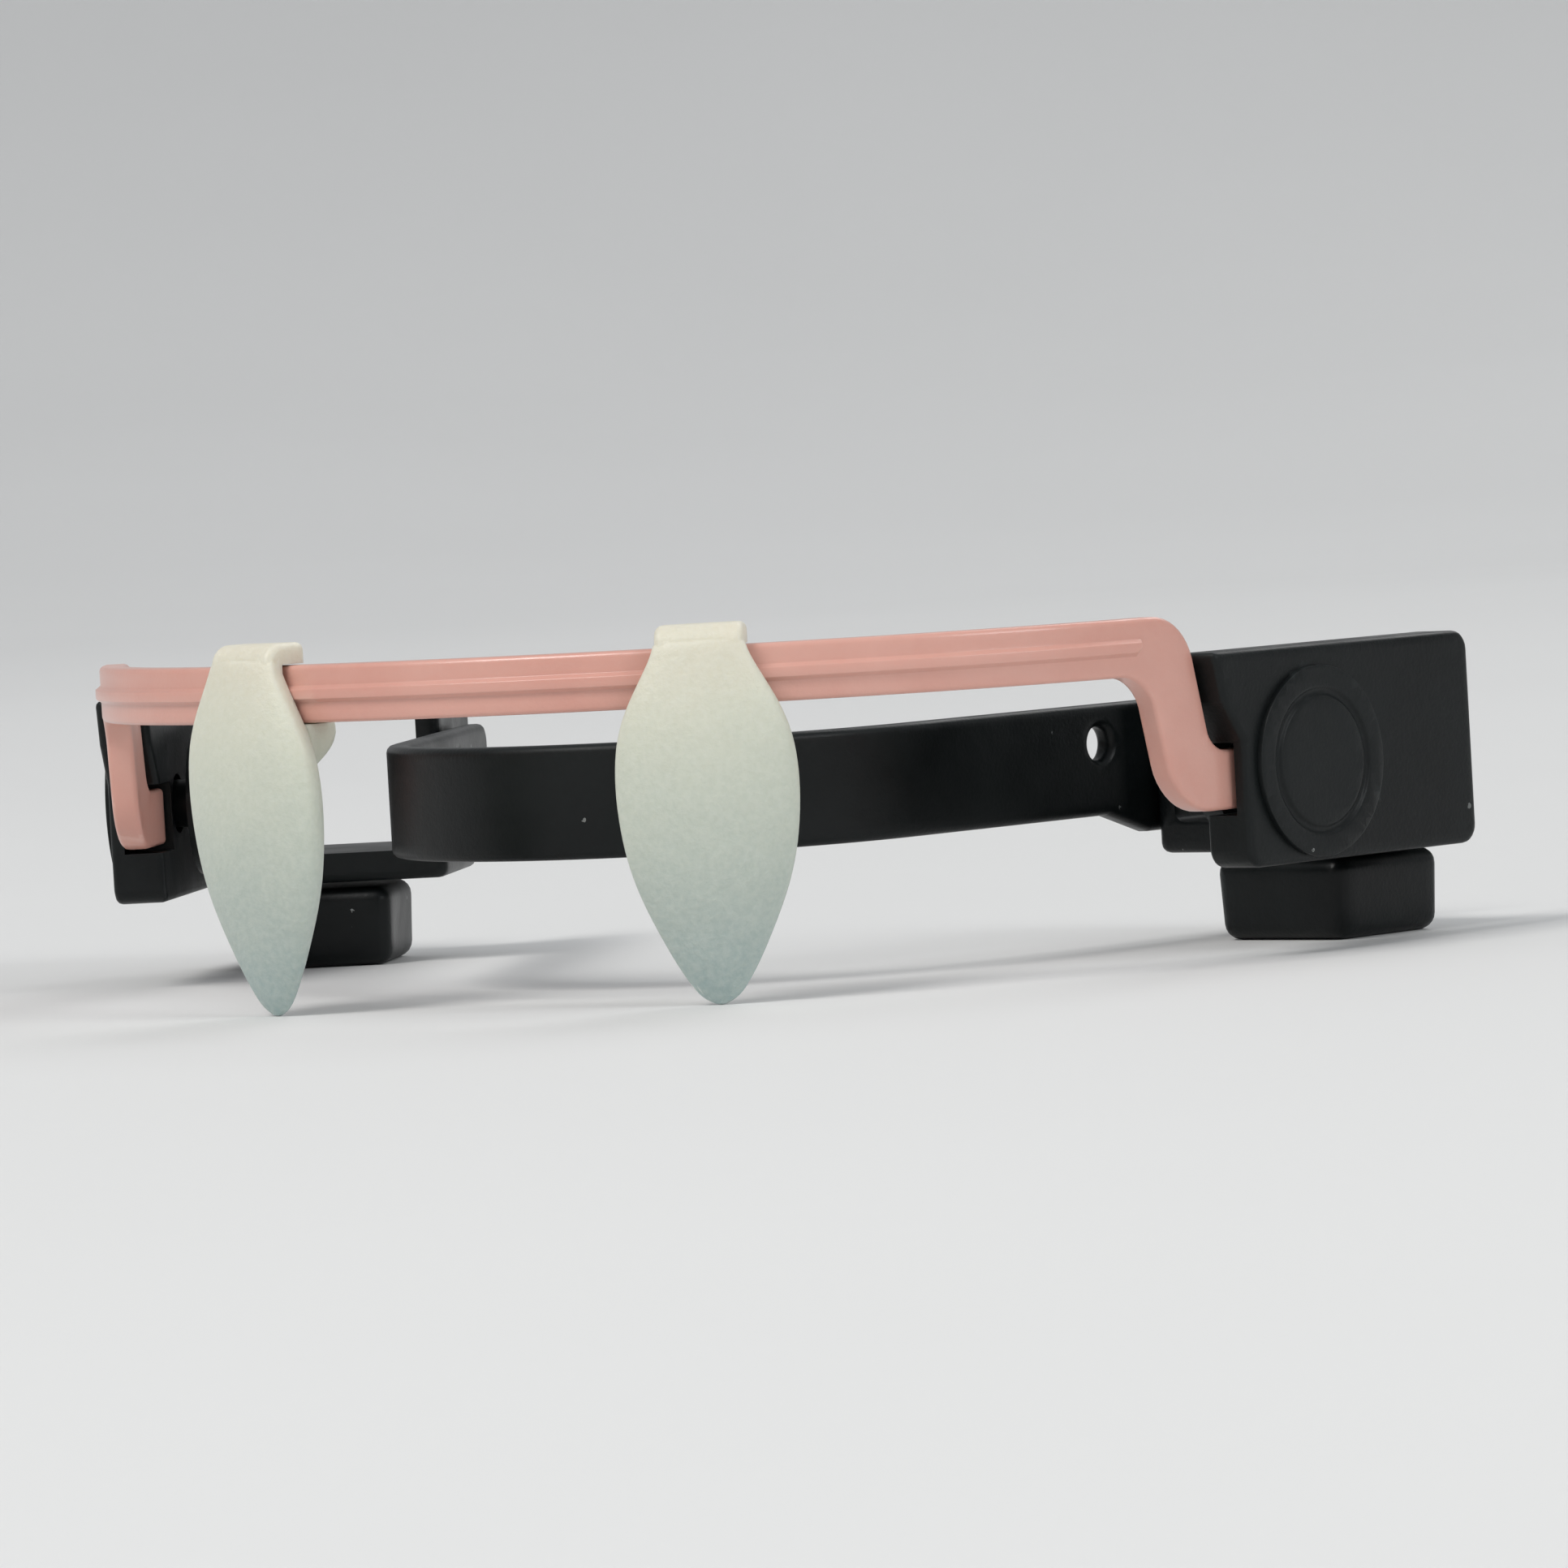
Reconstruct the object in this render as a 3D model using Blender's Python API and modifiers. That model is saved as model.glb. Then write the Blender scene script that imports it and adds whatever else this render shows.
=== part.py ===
"""Vampire fang denture: two fangs on an arched bar that lifts on a molar mouthpiece.

X runs to the viewer's right, the front faces -Y and Z is up. The origin lies under the
middle of the part, on the surface where the fang tips and the bite pads rest.
Runs along an arch are measured from its middle, and "out" is away from the mouth.
"""
import math

import bmesh
import bpy
from mathutils import Matrix, Vector

# The arched bar: a flat band whose outer face follows two arcs and then the lever's line
FRONT_RADIUS = 0.034
CHEEK_RADIUS = 0.024
FRONT_HEADING = math.radians(35.0)
LEVER_HEADING = math.radians(72.0)
BAR_MIDDLE_Z = 0.0150
BAR_HEIGHT = 0.0027
BAR_THICKNESS = 0.0013
BAR_EDGE = 0.0003
RIB_WIDTH = 0.0008
RIB_HEIGHT = 0.00025

# The cranked leg at each end of the bar, and the strap that it runs into
LEG_WIDTH = 0.0033
LEG_LEAN = math.radians(13.0)
SHOULDER_RADIUS = 0.0026
ARMPIT_RADIUS = 0.0020
HEEL_RADIUS = 0.0030
INSTEP_RADIUS = 0.0013
STRAP_BOTTOM_Z = 0.0071
STRAP_HEIGHT = 0.0028
STRAP_END_RUN = 0.0054
STRAP_CORNER = 0.0005

# The fangs, clipped on the bar from the front
FANG_RUN = 0.0117
FANG_HALF_WIDTH = 0.00427
FANG_EDGE_OUT = 0.00075
FANG_CROWN = 0.0014
FANG_BACK = 0.0019
FANG_CURVE = 0.0008
CLIP_LIP_BOTTOM_Z = 0.0117
CLIP_LIP_RISE = 0.00025
CLIP_LIP_HALF_WIDTH = 0.0032
CLIP_LIP_THICKNESS = 0.0007
CLIP_LIP_EDGE = 0.0003
TOP_HOOK_RISE = 0.00075
TOP_HOOK_HALF_WIDTH = 0.00205
TOP_HOOK_FRONT = 0.0009
TOP_HOOK_EDGE = 0.00025

# The levers, one outside each molar tray
LEVER_PROUD = 0.0010
LEVER_THICKNESS = 0.0026
LEVER_FRONT_RUN = 0.0026
LEVER_END_RUN = 0.0196
LEVER_BOTTOM_Z = 0.0043
LEVER_TOP_Z = 0.0145
LEVER_CORNER = 0.0009
LEVER_BROW_Z = 0.0122
LEVER_EDGE = 0.0003
BOSS_RADIUS = 0.0045
BOSS_HEIGHT = 0.0003

# The lift axis and its pins
PIVOT_RUN = 0.0079
PIVOT_Z = 0.0090
PIN_RADIUS = 0.0012
PIN_TAIL = 0.0006

# The molar trays, open troughs that sit on the back teeth
LEVER_GAP = 0.0010
TRAY_FRONT_RUN = 0.0135
TRAY_LENGTH = 0.0099
TRAY_WIDTH = 0.0114
TRAY_WALL = 0.0012
TRAY_FLOOR = 0.0015
TRAY_BOTTOM_Z = 0.0043
TRAY_TOP_Z = 0.0130
TRAY_EDGE = 0.0005
EAR_RADIUS = 0.0036

# The bite pads under the trays
PAD_INSET = 0.0003
PAD_WIDTH = 0.0080
PAD_LENGTH = 0.0078
PAD_EDGE = 0.0007

# The band behind the front teeth that joins the trays
BAND_FRONT_Y = 0.0095
BAND_THICKNESS = 0.0012
BAND_BOTTOM_Z = 0.0064
BAND_TOP_Z = 0.0118
BAND_HEEL_DROP = 0.0010
BAND_HEEL_RUN = 0.0030
BAND_SEAT = 0.0060
BAND_CORNER = 0.0010
BAND_EDGE = 0.0003
BAND_HOLE_RADIUS = 0.0008
BAND_HOLE_Z = 0.0099
BAND_HOLE_AHEAD = 0.0034

CLEARANCE = 0.0003
ARC_STEPS = 6
STATION_STEP = 0.0024
FANG_SIDES = 28
ROUND_SIDES = 32
OVERCUT = 0.002

# One row for each fang section, as shares: height, half width, crown, back
FANG_SECTIONS = (
    (0.000, 0.030, 0.04, 0.03),
    (0.010, 0.130, 0.13, 0.10),
    (0.030, 0.240, 0.23, 0.19),
    (0.070, 0.350, 0.34, 0.29),
    (0.125, 0.480, 0.47, 0.42),
    (0.190, 0.610, 0.59, 0.54),
    (0.265, 0.750, 0.73, 0.69),
    (0.345, 0.870, 0.85, 0.81),
    (0.440, 0.955, 0.94, 0.92),
    (0.560, 1.000, 1.00, 1.00),
    (0.660, 0.980, 0.99, 1.00),
    (0.730, 0.920, 0.94, 0.97),
    (0.790, 0.820, 0.84, 0.90),
    (0.840, 0.710, 0.72, 0.85),
    (0.890, 0.595, 0.60, 0.80),
    (0.930, 0.510, 0.50, 0.75),
    (0.955, 0.470, 0.36, 0.66),
    (0.965, 0.400, 0.22, 0.50),
)

BAR_ARCS = ((FRONT_RADIUS, FRONT_HEADING), (CHEEK_RADIUS, LEVER_HEADING))
BAR_RUN = FRONT_RADIUS * FRONT_HEADING + CHEEK_RADIUS * (LEVER_HEADING - FRONT_HEADING)
BAR_TOP_Z = BAR_MIDDLE_Z + BAR_HEIGHT / 2.0
BAR_BOTTOM_Z = BAR_MIDDLE_Z - BAR_HEIGHT / 2.0
STRAP_TOP_Z = STRAP_BOTTOM_Z + STRAP_HEIGHT
FANG_HEIGHT = BAR_TOP_Z + CLEARANCE + TOP_HOOK_RISE
LEVER_INNER = LEVER_PROUD - LEVER_THICKNESS
TRAY_OUTER = LEVER_INNER - LEVER_GAP
TRAY_INNER = TRAY_OUTER - TRAY_WIDTH
BAND_OUTER = TRAY_INNER - CLEARANCE
PIN_HOLE_RADIUS = PIN_RADIUS + CLEARANCE

SALMON = (0.64, 0.31, 0.26, 1.0)
IVORY = (0.66, 0.67, 0.55, 1.0)
BLACK = (0.012, 0.014, 0.015, 1.0)


def arch_at(run, arcs, front):
    """Give the place and heading at a run along an arch of arcs that ends in straight lines."""
    x = 0.0
    y = front
    heading = 0.0
    left = abs(run)
    for radius, last_heading in arcs:
        turn = min(left / radius, last_heading - heading)
        x += radius * (math.sin(heading + turn) - math.sin(heading))
        y += radius * (math.cos(heading) - math.cos(heading + turn))
        heading += turn
        left -= turn * radius
    x += left * math.cos(heading)
    y += left * math.sin(heading)
    side = math.copysign(1.0, run)
    return side * x, y, side * heading


def fang_reach():
    """Give how far the fangs stand in front of the point of the arch that they sit on."""
    heading = FANG_RUN / FRONT_RADIUS
    ahead = FANG_CROWN * math.cos(heading)
    aside = FANG_HALF_WIDTH * math.sin(heading)
    return FANG_EDGE_OUT * math.cos(heading) + math.hypot(ahead, aside)


def centred_front():
    """Give the Y of the bar's outer face that puts the origin under the part's middle."""
    corner_y = arch_at(BAR_RUN, BAR_ARCS, 0.0)[1]
    rear = corner_y + (TRAY_FRONT_RUN + TRAY_LENGTH) * math.sin(LEVER_HEADING)
    rear -= TRAY_INNER * math.cos(LEVER_HEADING)
    front = arch_at(FANG_RUN, BAR_ARCS, 0.0)[1] - fang_reach()
    return -(front + rear) / 2.0


BAR_FRONT_Y = centred_front()


def side_frame(side):
    """Give the frame of one side: X across the lever, Y back along it, Z up."""
    x, y, heading = arch_at(side * BAR_RUN, BAR_ARCS, BAR_FRONT_Y)
    turn = side * (LEVER_HEADING - math.pi / 2.0)
    return Matrix.Translation((x, y, 0.0)) @ Matrix.Rotation(turn, 4, "Z")


def pivot_point(side):
    """Give the middle of one hinge, halfway through the lever's thickness."""
    local = Vector((side * (LEVER_PROUD + LEVER_INNER) / 2.0, PIVOT_RUN, PIVOT_Z))
    return side_frame(side) @ local


def band_radius():
    """Give the radius that brings the band from its middle onto the line beside the trays."""
    corner = side_frame(1.0) @ Vector((BAND_OUTER, 0.0, 0.0))
    offset = corner.x * math.sin(LEVER_HEADING) - corner.y * math.cos(LEVER_HEADING)
    front = BAR_FRONT_Y + BAND_FRONT_Y
    return (offset + front * math.cos(LEVER_HEADING)) / (1.0 - math.cos(LEVER_HEADING))


def band_run_at(run):
    """Turn a run along the lever's line into a run along the band."""
    arcs = ((band_radius(), LEVER_HEADING),)
    arc_run = band_radius() * LEVER_HEADING
    x, y, heading = arch_at(arc_run, arcs, BAR_FRONT_Y + BAND_FRONT_Y)
    local = side_frame(1.0).inverted() @ Vector((x, y, 0.0))
    return arc_run + run - local.y


def rounded_outline(corners):
    """Turn (x, y, radius) corners into outline points, with an arc at each rounded corner."""
    points = []
    for index, (x, y, radius) in enumerate(corners):
        corner = Vector((x, y))
        if radius == 0.0:
            points.append(corner)
            continue
        to_last = (Vector(corners[index - 1][:2]) - corner).normalized()
        to_next = (Vector(corners[(index + 1) % len(corners)][:2]) - corner).normalized()
        half = to_last.angle(to_next) / 2.0
        centre = corner + (to_last + to_next).normalized() * (radius / math.sin(half))
        start = corner + to_last * (radius / math.tan(half)) - centre
        end = corner + to_next * (radius / math.tan(half)) - centre
        turn = math.copysign(math.pi - 2.0 * half, start.cross(end))
        for step in range(ARC_STEPS + 1):
            spoke = start.copy()
            spoke.rotate(Matrix.Rotation(turn * step / ARC_STEPS, 2))
            points.append(centre + spoke)
    return points


def mirrored(corners):
    """Close a half outline, listed from the middle to the middle, with its mirror image."""
    return corners + [(-x, y, radius) for x, y, radius in reversed(corners)]


def place_in(collection, name, mesh):
    """Make an object of a mesh in a collection."""
    thing = bpy.data.objects.new(name, mesh)
    collection.objects.link(thing)
    return thing


def flat_piece(collection, name, corners, thickness):
    """Make a flat plate of an outline, as a closed mesh centred on its own plane."""
    outline = bpy.data.curves.new(name, "CURVE")
    outline.dimensions = "2D"
    outline.fill_mode = "BOTH"
    outline.extrude = thickness / 2.0
    points = rounded_outline(corners)
    spline = outline.splines.new("POLY")
    spline.points.add(len(points) - 1)
    for slot, point in zip(spline.points, points):
        slot.co = (point.x, point.y, 0.0, 1.0)
    spline.use_cyclic_u = True
    guide = place_in(collection, name + "_outline", outline)
    depsgraph = bpy.context.evaluated_depsgraph_get()
    mesh = bpy.data.meshes.new_from_object(guide.evaluated_get(depsgraph))
    shape = bmesh.new()
    shape.from_mesh(mesh)
    bmesh.ops.remove_doubles(shape, verts=shape.verts, dist=0.000001)
    bmesh.ops.dissolve_limit(shape, angle_limit=0.001, verts=shape.verts, edges=shape.edges)
    bmesh.ops.recalc_face_normals(shape, faces=shape.faces)
    shape.to_mesh(mesh)
    shape.free()
    bpy.data.objects.remove(guide)
    return place_in(collection, name, mesh)


def block(collection, name, low, high):
    """Make a box between two corners."""
    shape = bmesh.new()
    bmesh.ops.create_cube(shape, size=1.0)
    low = Vector(low)
    high = Vector(high)
    size = high - low
    bmesh.ops.scale(shape, vec=(abs(size.x), abs(size.y), abs(size.z)), verts=shape.verts)
    bmesh.ops.translate(shape, vec=(low + high) / 2.0, verts=shape.verts)
    mesh = bpy.data.meshes.new(name)
    shape.to_mesh(mesh)
    shape.free()
    return place_in(collection, name, mesh)


def rod_across(collection, name, start, end, radius):
    """Make a round rod along X between two points at one height."""
    shape = bmesh.new()
    bmesh.ops.create_cone(
        shape, cap_ends=True, segments=ROUND_SIDES, radius1=radius, radius2=radius,
        depth=(end - start).length, matrix=Matrix.Rotation(math.pi / 2.0, 4, "Y"))
    bmesh.ops.translate(shape, vec=(start + end) / 2.0, verts=shape.verts)
    mesh = bpy.data.meshes.new(name)
    shape.to_mesh(mesh)
    shape.free()
    mesh.shade_smooth()
    mesh.set_sharp_from_angle(angle=math.radians(30.0))
    return place_in(collection, name, mesh)


def round_edges(thing, width, segments=2):
    """Round a piece's sharp edges with a Bevel modifier."""
    bevel = thing.modifiers.new("Rounded edges", "BEVEL")
    bevel.width = width
    bevel.segments = segments
    bevel.limit_method = "ANGLE"
    bevel.angle_limit = math.radians(40.0)


def combine(thing, other, operation):
    """Join another piece to a piece, or cut it away, with a Boolean modifier."""
    step = thing.modifiers.new(operation.title() + " " + other.name, "BOOLEAN")
    step.operation = operation
    step.object = other
    step.solver = "EXACT"
    other.hide_render = True
    other.display_type = "WIRE"


def settle(thing):
    """Replace a piece's mesh with the result of its modifiers."""
    depsgraph = bpy.context.evaluated_depsgraph_get()
    result = bpy.data.meshes.new_from_object(thing.evaluated_get(depsgraph))
    thing.modifiers.clear()
    thing.data = result


def stand_up(thing, side, out_from, out_to):
    """Turn a flat piece drawn as (run, height) upright, at its place across one side."""
    upright = Matrix(((0, 0, 1, 0), (1, 0, 0, 0), (0, 1, 0, 0), (0, 0, 0, 1)))
    across = Matrix.Translation((side * (out_from + out_to) / 2.0, 0.0, 0.0))
    thing.data.transform(side_frame(side) @ across @ upright)


def wrap(thing, arcs, front):
    """Bend a flat piece, drawn as (run, height) and out along Z, round an arch in plan."""
    arc_run = 0.0
    heading = 0.0
    for radius, last_heading in arcs:
        arc_run += radius * (last_heading - heading)
        heading = last_heading
    steps = math.ceil(arc_run / STATION_STEP)
    shape = bmesh.new()
    shape.from_mesh(thing.data)
    for step in range(-steps, steps + 1):
        everything = shape.verts[:] + shape.edges[:] + shape.faces[:]
        station = (arc_run * step / steps, 0.0, 0.0)
        bmesh.ops.bisect_plane(shape, geom=everything, plane_co=station, plane_no=(1, 0, 0))
    for vert in shape.verts:
        run, height, out = vert.co
        x, y, turn = arch_at(run, arcs, front)
        vert.co = (x + out * math.sin(turn), y - out * math.cos(turn), height)
    shape.to_mesh(thing.data)
    shape.free()


def finish(thing, material, axis=None):
    """Give a piece its material, and hang a moving piece on the lift axis."""
    thing.data.materials.clear()
    thing.data.materials.append(material)
    if axis is not None:
        thing.parent = axis
        thing.matrix_parent_inverse = Matrix.Translation(axis.location).inverted()


def plastic(name, colour, roughness):
    """Make a plain moulded plastic."""
    material = bpy.data.materials.new(name)
    material.use_nodes = True
    shader = material.node_tree.nodes["Principled BSDF"]
    shader.inputs["Base Color"].default_value = colour
    shader.inputs["Roughness"].default_value = roughness
    shader.inputs["Metallic"].default_value = 0.0
    return material


def leg_back(height):
    """Give the run of the leg's rear edge at a height."""
    return BAR_RUN + (BAR_TOP_Z - height) * math.tan(LEG_LEAN)


def bar_outline():
    """Give the right half of the bar's outline: band, cranked leg and strap."""
    end = BAR_RUN + STRAP_END_RUN
    return [
        (leg_back(BAR_TOP_Z), BAR_TOP_Z, SHOULDER_RADIUS),
        (leg_back(STRAP_TOP_Z), STRAP_TOP_Z, INSTEP_RADIUS),
        (end, STRAP_TOP_Z, STRAP_CORNER),
        (end, STRAP_BOTTOM_Z, STRAP_CORNER),
        (leg_back(STRAP_BOTTOM_Z) - LEG_WIDTH, STRAP_BOTTOM_Z, HEEL_RADIUS),
        (leg_back(BAR_BOTTOM_Z) - LEG_WIDTH, BAR_BOTTOM_Z, ARMPIT_RADIUS),
    ]


def make_front_bar(parts, cutters):
    """Make the arched bar: a flat band with a central rib, and a cranked leg at each end."""
    bar = flat_piece(parts, "front_bar", mirrored(bar_outline()), BAR_THICKNESS)
    bar.data.transform(Matrix.Translation((0.0, 0.0, -BAR_THICKNESS / 2.0)))
    round_edges(bar, BAR_EDGE)
    rib_end = leg_back(BAR_MIDDLE_Z) - LEG_WIDTH
    rib = block(
        cutters, "bar_rib",
        (-rib_end, BAR_MIDDLE_Z - RIB_WIDTH / 2.0, -BAR_THICKNESS / 2.0),
        (rib_end, BAR_MIDDLE_Z + RIB_WIDTH / 2.0, RIB_HEIGHT))
    round_edges(rib, RIB_HEIGHT * 0.6)
    combine(bar, rib, "UNION")
    settle(bar)
    bpy.data.objects.remove(rib)
    wrap(bar, BAR_ARCS, BAR_FRONT_Y)
    return bar


def make_bar_channel(cutters):
    """Make the cutter for the channel in which the bar lies in both fangs."""
    reach = FANG_RUN + FANG_HALF_WIDTH + OVERCUT
    front = RIB_HEIGHT + CLEARANCE
    back = -BAR_THICKNESS - CLEARANCE
    channel = block(
        cutters, "bar_channel",
        (-reach, BAR_BOTTOM_Z - CLEARANCE, back), (reach, BAR_TOP_Z + CLEARANCE, front))
    wrap(channel, BAR_ARCS, BAR_FRONT_Y)
    return channel


def fang_frame(side):
    """Give the frame of a fang: X along the bar, Y inwards from its outer face, Z up."""
    x, y, heading = arch_at(side * FANG_RUN, BAR_ARCS, BAR_FRONT_Y)
    return Matrix.Translation((x, y, 0.0)) @ Matrix.Rotation(heading, 4, "Z")


def fang_section(row):
    """Give one ring of fang points from a row of shares."""
    height, half_width, crown, back = row
    edge = FANG_EDGE_OUT - FANG_CURVE * (1.0 - height) ** 2
    ring = []
    for step in range(FANG_SIDES):
        angle = 2.0 * math.pi * step / FANG_SIDES
        depth = FANG_CROWN * crown if math.sin(angle) > 0.0 else FANG_BACK * back
        out = edge + depth * math.sin(angle)
        ring.append((FANG_HALF_WIDTH * half_width * math.cos(angle), -out, FANG_HEIGHT * height))
    return ring


def make_fang(parts, cutters, name, side, channel):
    """Make one fang: a lofted leaf, a hook over the bar, a clip lip and the bar's channel."""
    shape = bmesh.new()
    rings = [[shape.verts.new(point) for point in fang_section(row)] for row in FANG_SECTIONS]
    for lower, upper in zip(rings, rings[1:]):
        for step in range(FANG_SIDES):
            after = (step + 1) % FANG_SIDES
            shape.faces.new((lower[step], lower[after], upper[after], upper[step]))
    shape.faces.new(rings[0])
    shape.faces.new(rings[-1])
    bmesh.ops.recalc_face_normals(shape, faces=shape.faces)
    mesh = bpy.data.meshes.new(name)
    shape.to_mesh(mesh)
    shape.free()
    mesh.shade_smooth()
    mesh.set_sharp_from_angle(angle=math.radians(50.0))
    fang = place_in(parts, name, mesh)
    fang.matrix_world = fang_frame(side)
    lip_back = BAR_THICKNESS + CLEARANCE + CLIP_LIP_THICKNESS
    lip = block(
        cutters, name + "_clip_lip",
        (-CLIP_LIP_HALF_WIDTH, 0.0, CLIP_LIP_BOTTOM_Z),
        (CLIP_LIP_HALF_WIDTH, lip_back, BAR_BOTTOM_Z + CLIP_LIP_RISE))
    lip.matrix_world = fang_frame(side)
    round_edges(lip, CLIP_LIP_EDGE)
    hook = block(
        cutters, name + "_top_hook",
        (-TOP_HOOK_HALF_WIDTH, -TOP_HOOK_FRONT, BAR_MIDDLE_Z),
        (TOP_HOOK_HALF_WIDTH, BAR_THICKNESS, FANG_HEIGHT))
    hook.matrix_world = fang_frame(side)
    round_edges(hook, TOP_HOOK_EDGE)
    combine(fang, lip, "UNION")
    combine(fang, hook, "UNION")
    combine(fang, channel, "DIFFERENCE")
    return fang


def lever_outline():
    """Give the lever's outline: a plate with a brow over the strap and rounded corners."""
    brow = leg_back(LEVER_BROW_Z) - BAR_RUN + CLEARANCE
    top = leg_back(LEVER_TOP_Z) - BAR_RUN + CLEARANCE
    return [
        (top, LEVER_TOP_Z, 0.0),
        (brow, LEVER_BROW_Z, 0.0),
        (LEVER_FRONT_RUN, STRAP_TOP_Z + CLEARANCE, 0.0),
        (LEVER_FRONT_RUN, LEVER_BOTTOM_Z, LEVER_CORNER),
        (LEVER_END_RUN, LEVER_BOTTOM_Z, LEVER_CORNER),
        (LEVER_END_RUN, LEVER_TOP_Z, LEVER_CORNER),
    ]


def make_lever(parts, cutters, name, side):
    """Make one lever: a plate with a round boss, a groove for the strap and a pin hole."""
    lever = flat_piece(parts, name, lever_outline(), LEVER_THICKNESS)
    stand_up(lever, side, LEVER_PROUD, LEVER_INNER)
    round_edges(lever, LEVER_EDGE)
    ring = [
        (PIVOT_RUN + BOSS_RADIUS * math.cos(math.tau * step / ROUND_SIDES),
         PIVOT_Z + BOSS_RADIUS * math.sin(math.tau * step / ROUND_SIDES), 0.0)
        for step in range(ROUND_SIDES)]
    boss = flat_piece(cutters, name + "_boss", ring, 2.0 * BOSS_HEIGHT)
    stand_up(boss, side, LEVER_PROUD, LEVER_PROUD)
    combine(lever, boss, "UNION")
    groove = block(
        cutters, name + "_strap_groove",
        (side * (LEVER_INNER - OVERCUT), LEVER_FRONT_RUN - OVERCUT, STRAP_BOTTOM_Z - CLEARANCE),
        (side * CLEARANCE, STRAP_END_RUN + CLEARANCE, STRAP_TOP_Z + CLEARANCE))
    groove.matrix_world = side_frame(side)
    combine(lever, groove, "DIFFERENCE")
    hole = pin_hole(cutters, name + "_pin_hole", side)
    combine(lever, hole, "DIFFERENCE")
    return lever


def pin_end(side):
    """Give the outer end of one hinge pin, inside its lever."""
    return pivot_point(side) + Vector((side * PIN_TAIL, 0.0, 0.0))


def pin_root(side):
    """Give the inner end of one hinge pin, just inside the ear that holds it."""
    ear_inner = TRAY_OUTER - TRAY_WALL
    across = ((LEVER_PROUD + LEVER_INNER) / 2.0 - ear_inner) / math.sin(LEVER_HEADING)
    return pivot_point(side) - Vector((side * (across + CLEARANCE), 0.0, 0.0))


def pin_hole(cutters, name, side):
    """Make the cutter of one pin hole, blind in the lever and open through the ear."""
    start = pin_root(side) - Vector((side * OVERCUT, 0.0, 0.0))
    end = pin_end(side) + Vector((side * CLEARANCE, 0.0, 0.0))
    return rod_across(cutters, name, start, end, PIN_HOLE_RADIUS)


def make_molar_tray(parts, cutters, name, side):
    """Make one molar tray: a trough open at the top and ends, with an ear for the hinge."""
    end = TRAY_FRONT_RUN + TRAY_LENGTH
    tray = block(
        parts, name,
        (side * TRAY_OUTER, TRAY_FRONT_RUN, TRAY_BOTTOM_Z),
        (side * TRAY_INNER, end, TRAY_TOP_Z))
    tray.matrix_world = side_frame(side)
    round_edges(tray, TRAY_EDGE)
    trough = block(
        cutters, name + "_trough",
        (side * (TRAY_OUTER - TRAY_WALL), TRAY_FRONT_RUN - OVERCUT, TRAY_BOTTOM_Z + TRAY_FLOOR),
        (side * (TRAY_INNER + TRAY_WALL), end + OVERCUT, TRAY_TOP_Z + OVERCUT))
    trough.matrix_world = side_frame(side)
    combine(tray, trough, "DIFFERENCE")
    nose = PIVOT_RUN - EAR_RADIUS
    root = TRAY_FRONT_RUN + TRAY_EDGE + CLEARANCE
    outline = [
        (root, PIVOT_Z - EAR_RADIUS, 0.0),
        (root, PIVOT_Z + EAR_RADIUS, 0.0),
        (nose, PIVOT_Z + EAR_RADIUS, EAR_RADIUS * 0.98),
        (nose, PIVOT_Z - EAR_RADIUS, EAR_RADIUS * 0.98),
    ]
    ear = flat_piece(cutters, name + "_ear", outline, TRAY_WALL)
    stand_up(ear, side, TRAY_OUTER, TRAY_OUTER - TRAY_WALL)
    combine(tray, ear, "UNION")
    combine(tray, pin_hole(cutters, name + "_pin_hole", side), "DIFFERENCE")
    return tray


def make_bite_pad(parts, name, side):
    """Make one bite pad, a rounded block under its tray."""
    front = TRAY_FRONT_RUN + PAD_INSET
    outer = TRAY_OUTER - PAD_INSET
    pad = block(
        parts, name,
        (side * outer, front, 0.0),
        (side * (outer - PAD_WIDTH), front + PAD_LENGTH, TRAY_BOTTOM_Z - CLEARANCE))
    pad.matrix_world = side_frame(side)
    round_edges(pad, PAD_EDGE, 3)
    return pad


def band_outline():
    """Give the right half of the band's outline, deeper where it meets the tray."""
    end = band_run_at(TRAY_FRONT_RUN + BAND_SEAT)
    heel = band_run_at(TRAY_FRONT_RUN)
    return [
        (end, BAND_TOP_Z, BAND_CORNER),
        (end, BAND_BOTTOM_Z - BAND_HEEL_DROP, BAND_CORNER),
        (heel, BAND_BOTTOM_Z - BAND_HEEL_DROP, 0.0),
        (heel - BAND_HEEL_RUN, BAND_BOTTOM_Z, 0.0),
    ]


def make_lingual_band(parts, cutters):
    """Make the band behind the front teeth, with a small hole in each arm."""
    band = flat_piece(parts, "lingual_band", mirrored(band_outline()), BAND_THICKNESS)
    band.data.transform(Matrix.Translation((0.0, 0.0, -BAND_THICKNESS / 2.0)))
    round_edges(band, BAND_EDGE)
    settle(band)
    wrap(band, ((band_radius(), LEVER_HEADING),), BAR_FRONT_Y + BAND_FRONT_Y)
    for side in (1.0, -1.0):
        local = Vector((side * BAND_OUTER, TRAY_FRONT_RUN - BAND_HOLE_AHEAD, BAND_HOLE_Z))
        centre = side_frame(side) @ local
        reach = Vector((BAND_THICKNESS + OVERCUT, 0.0, 0.0))
        hole = rod_across(
            cutters, "band_hole", centre - reach, centre + reach, BAND_HOLE_RADIUS)
        combine(band, hole, "DIFFERENCE")
    return band


def new_collection(name):
    """Make a collection in the scene."""
    collection = bpy.data.collections.new(name)
    bpy.context.scene.collection.children.link(collection)
    return collection


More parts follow.
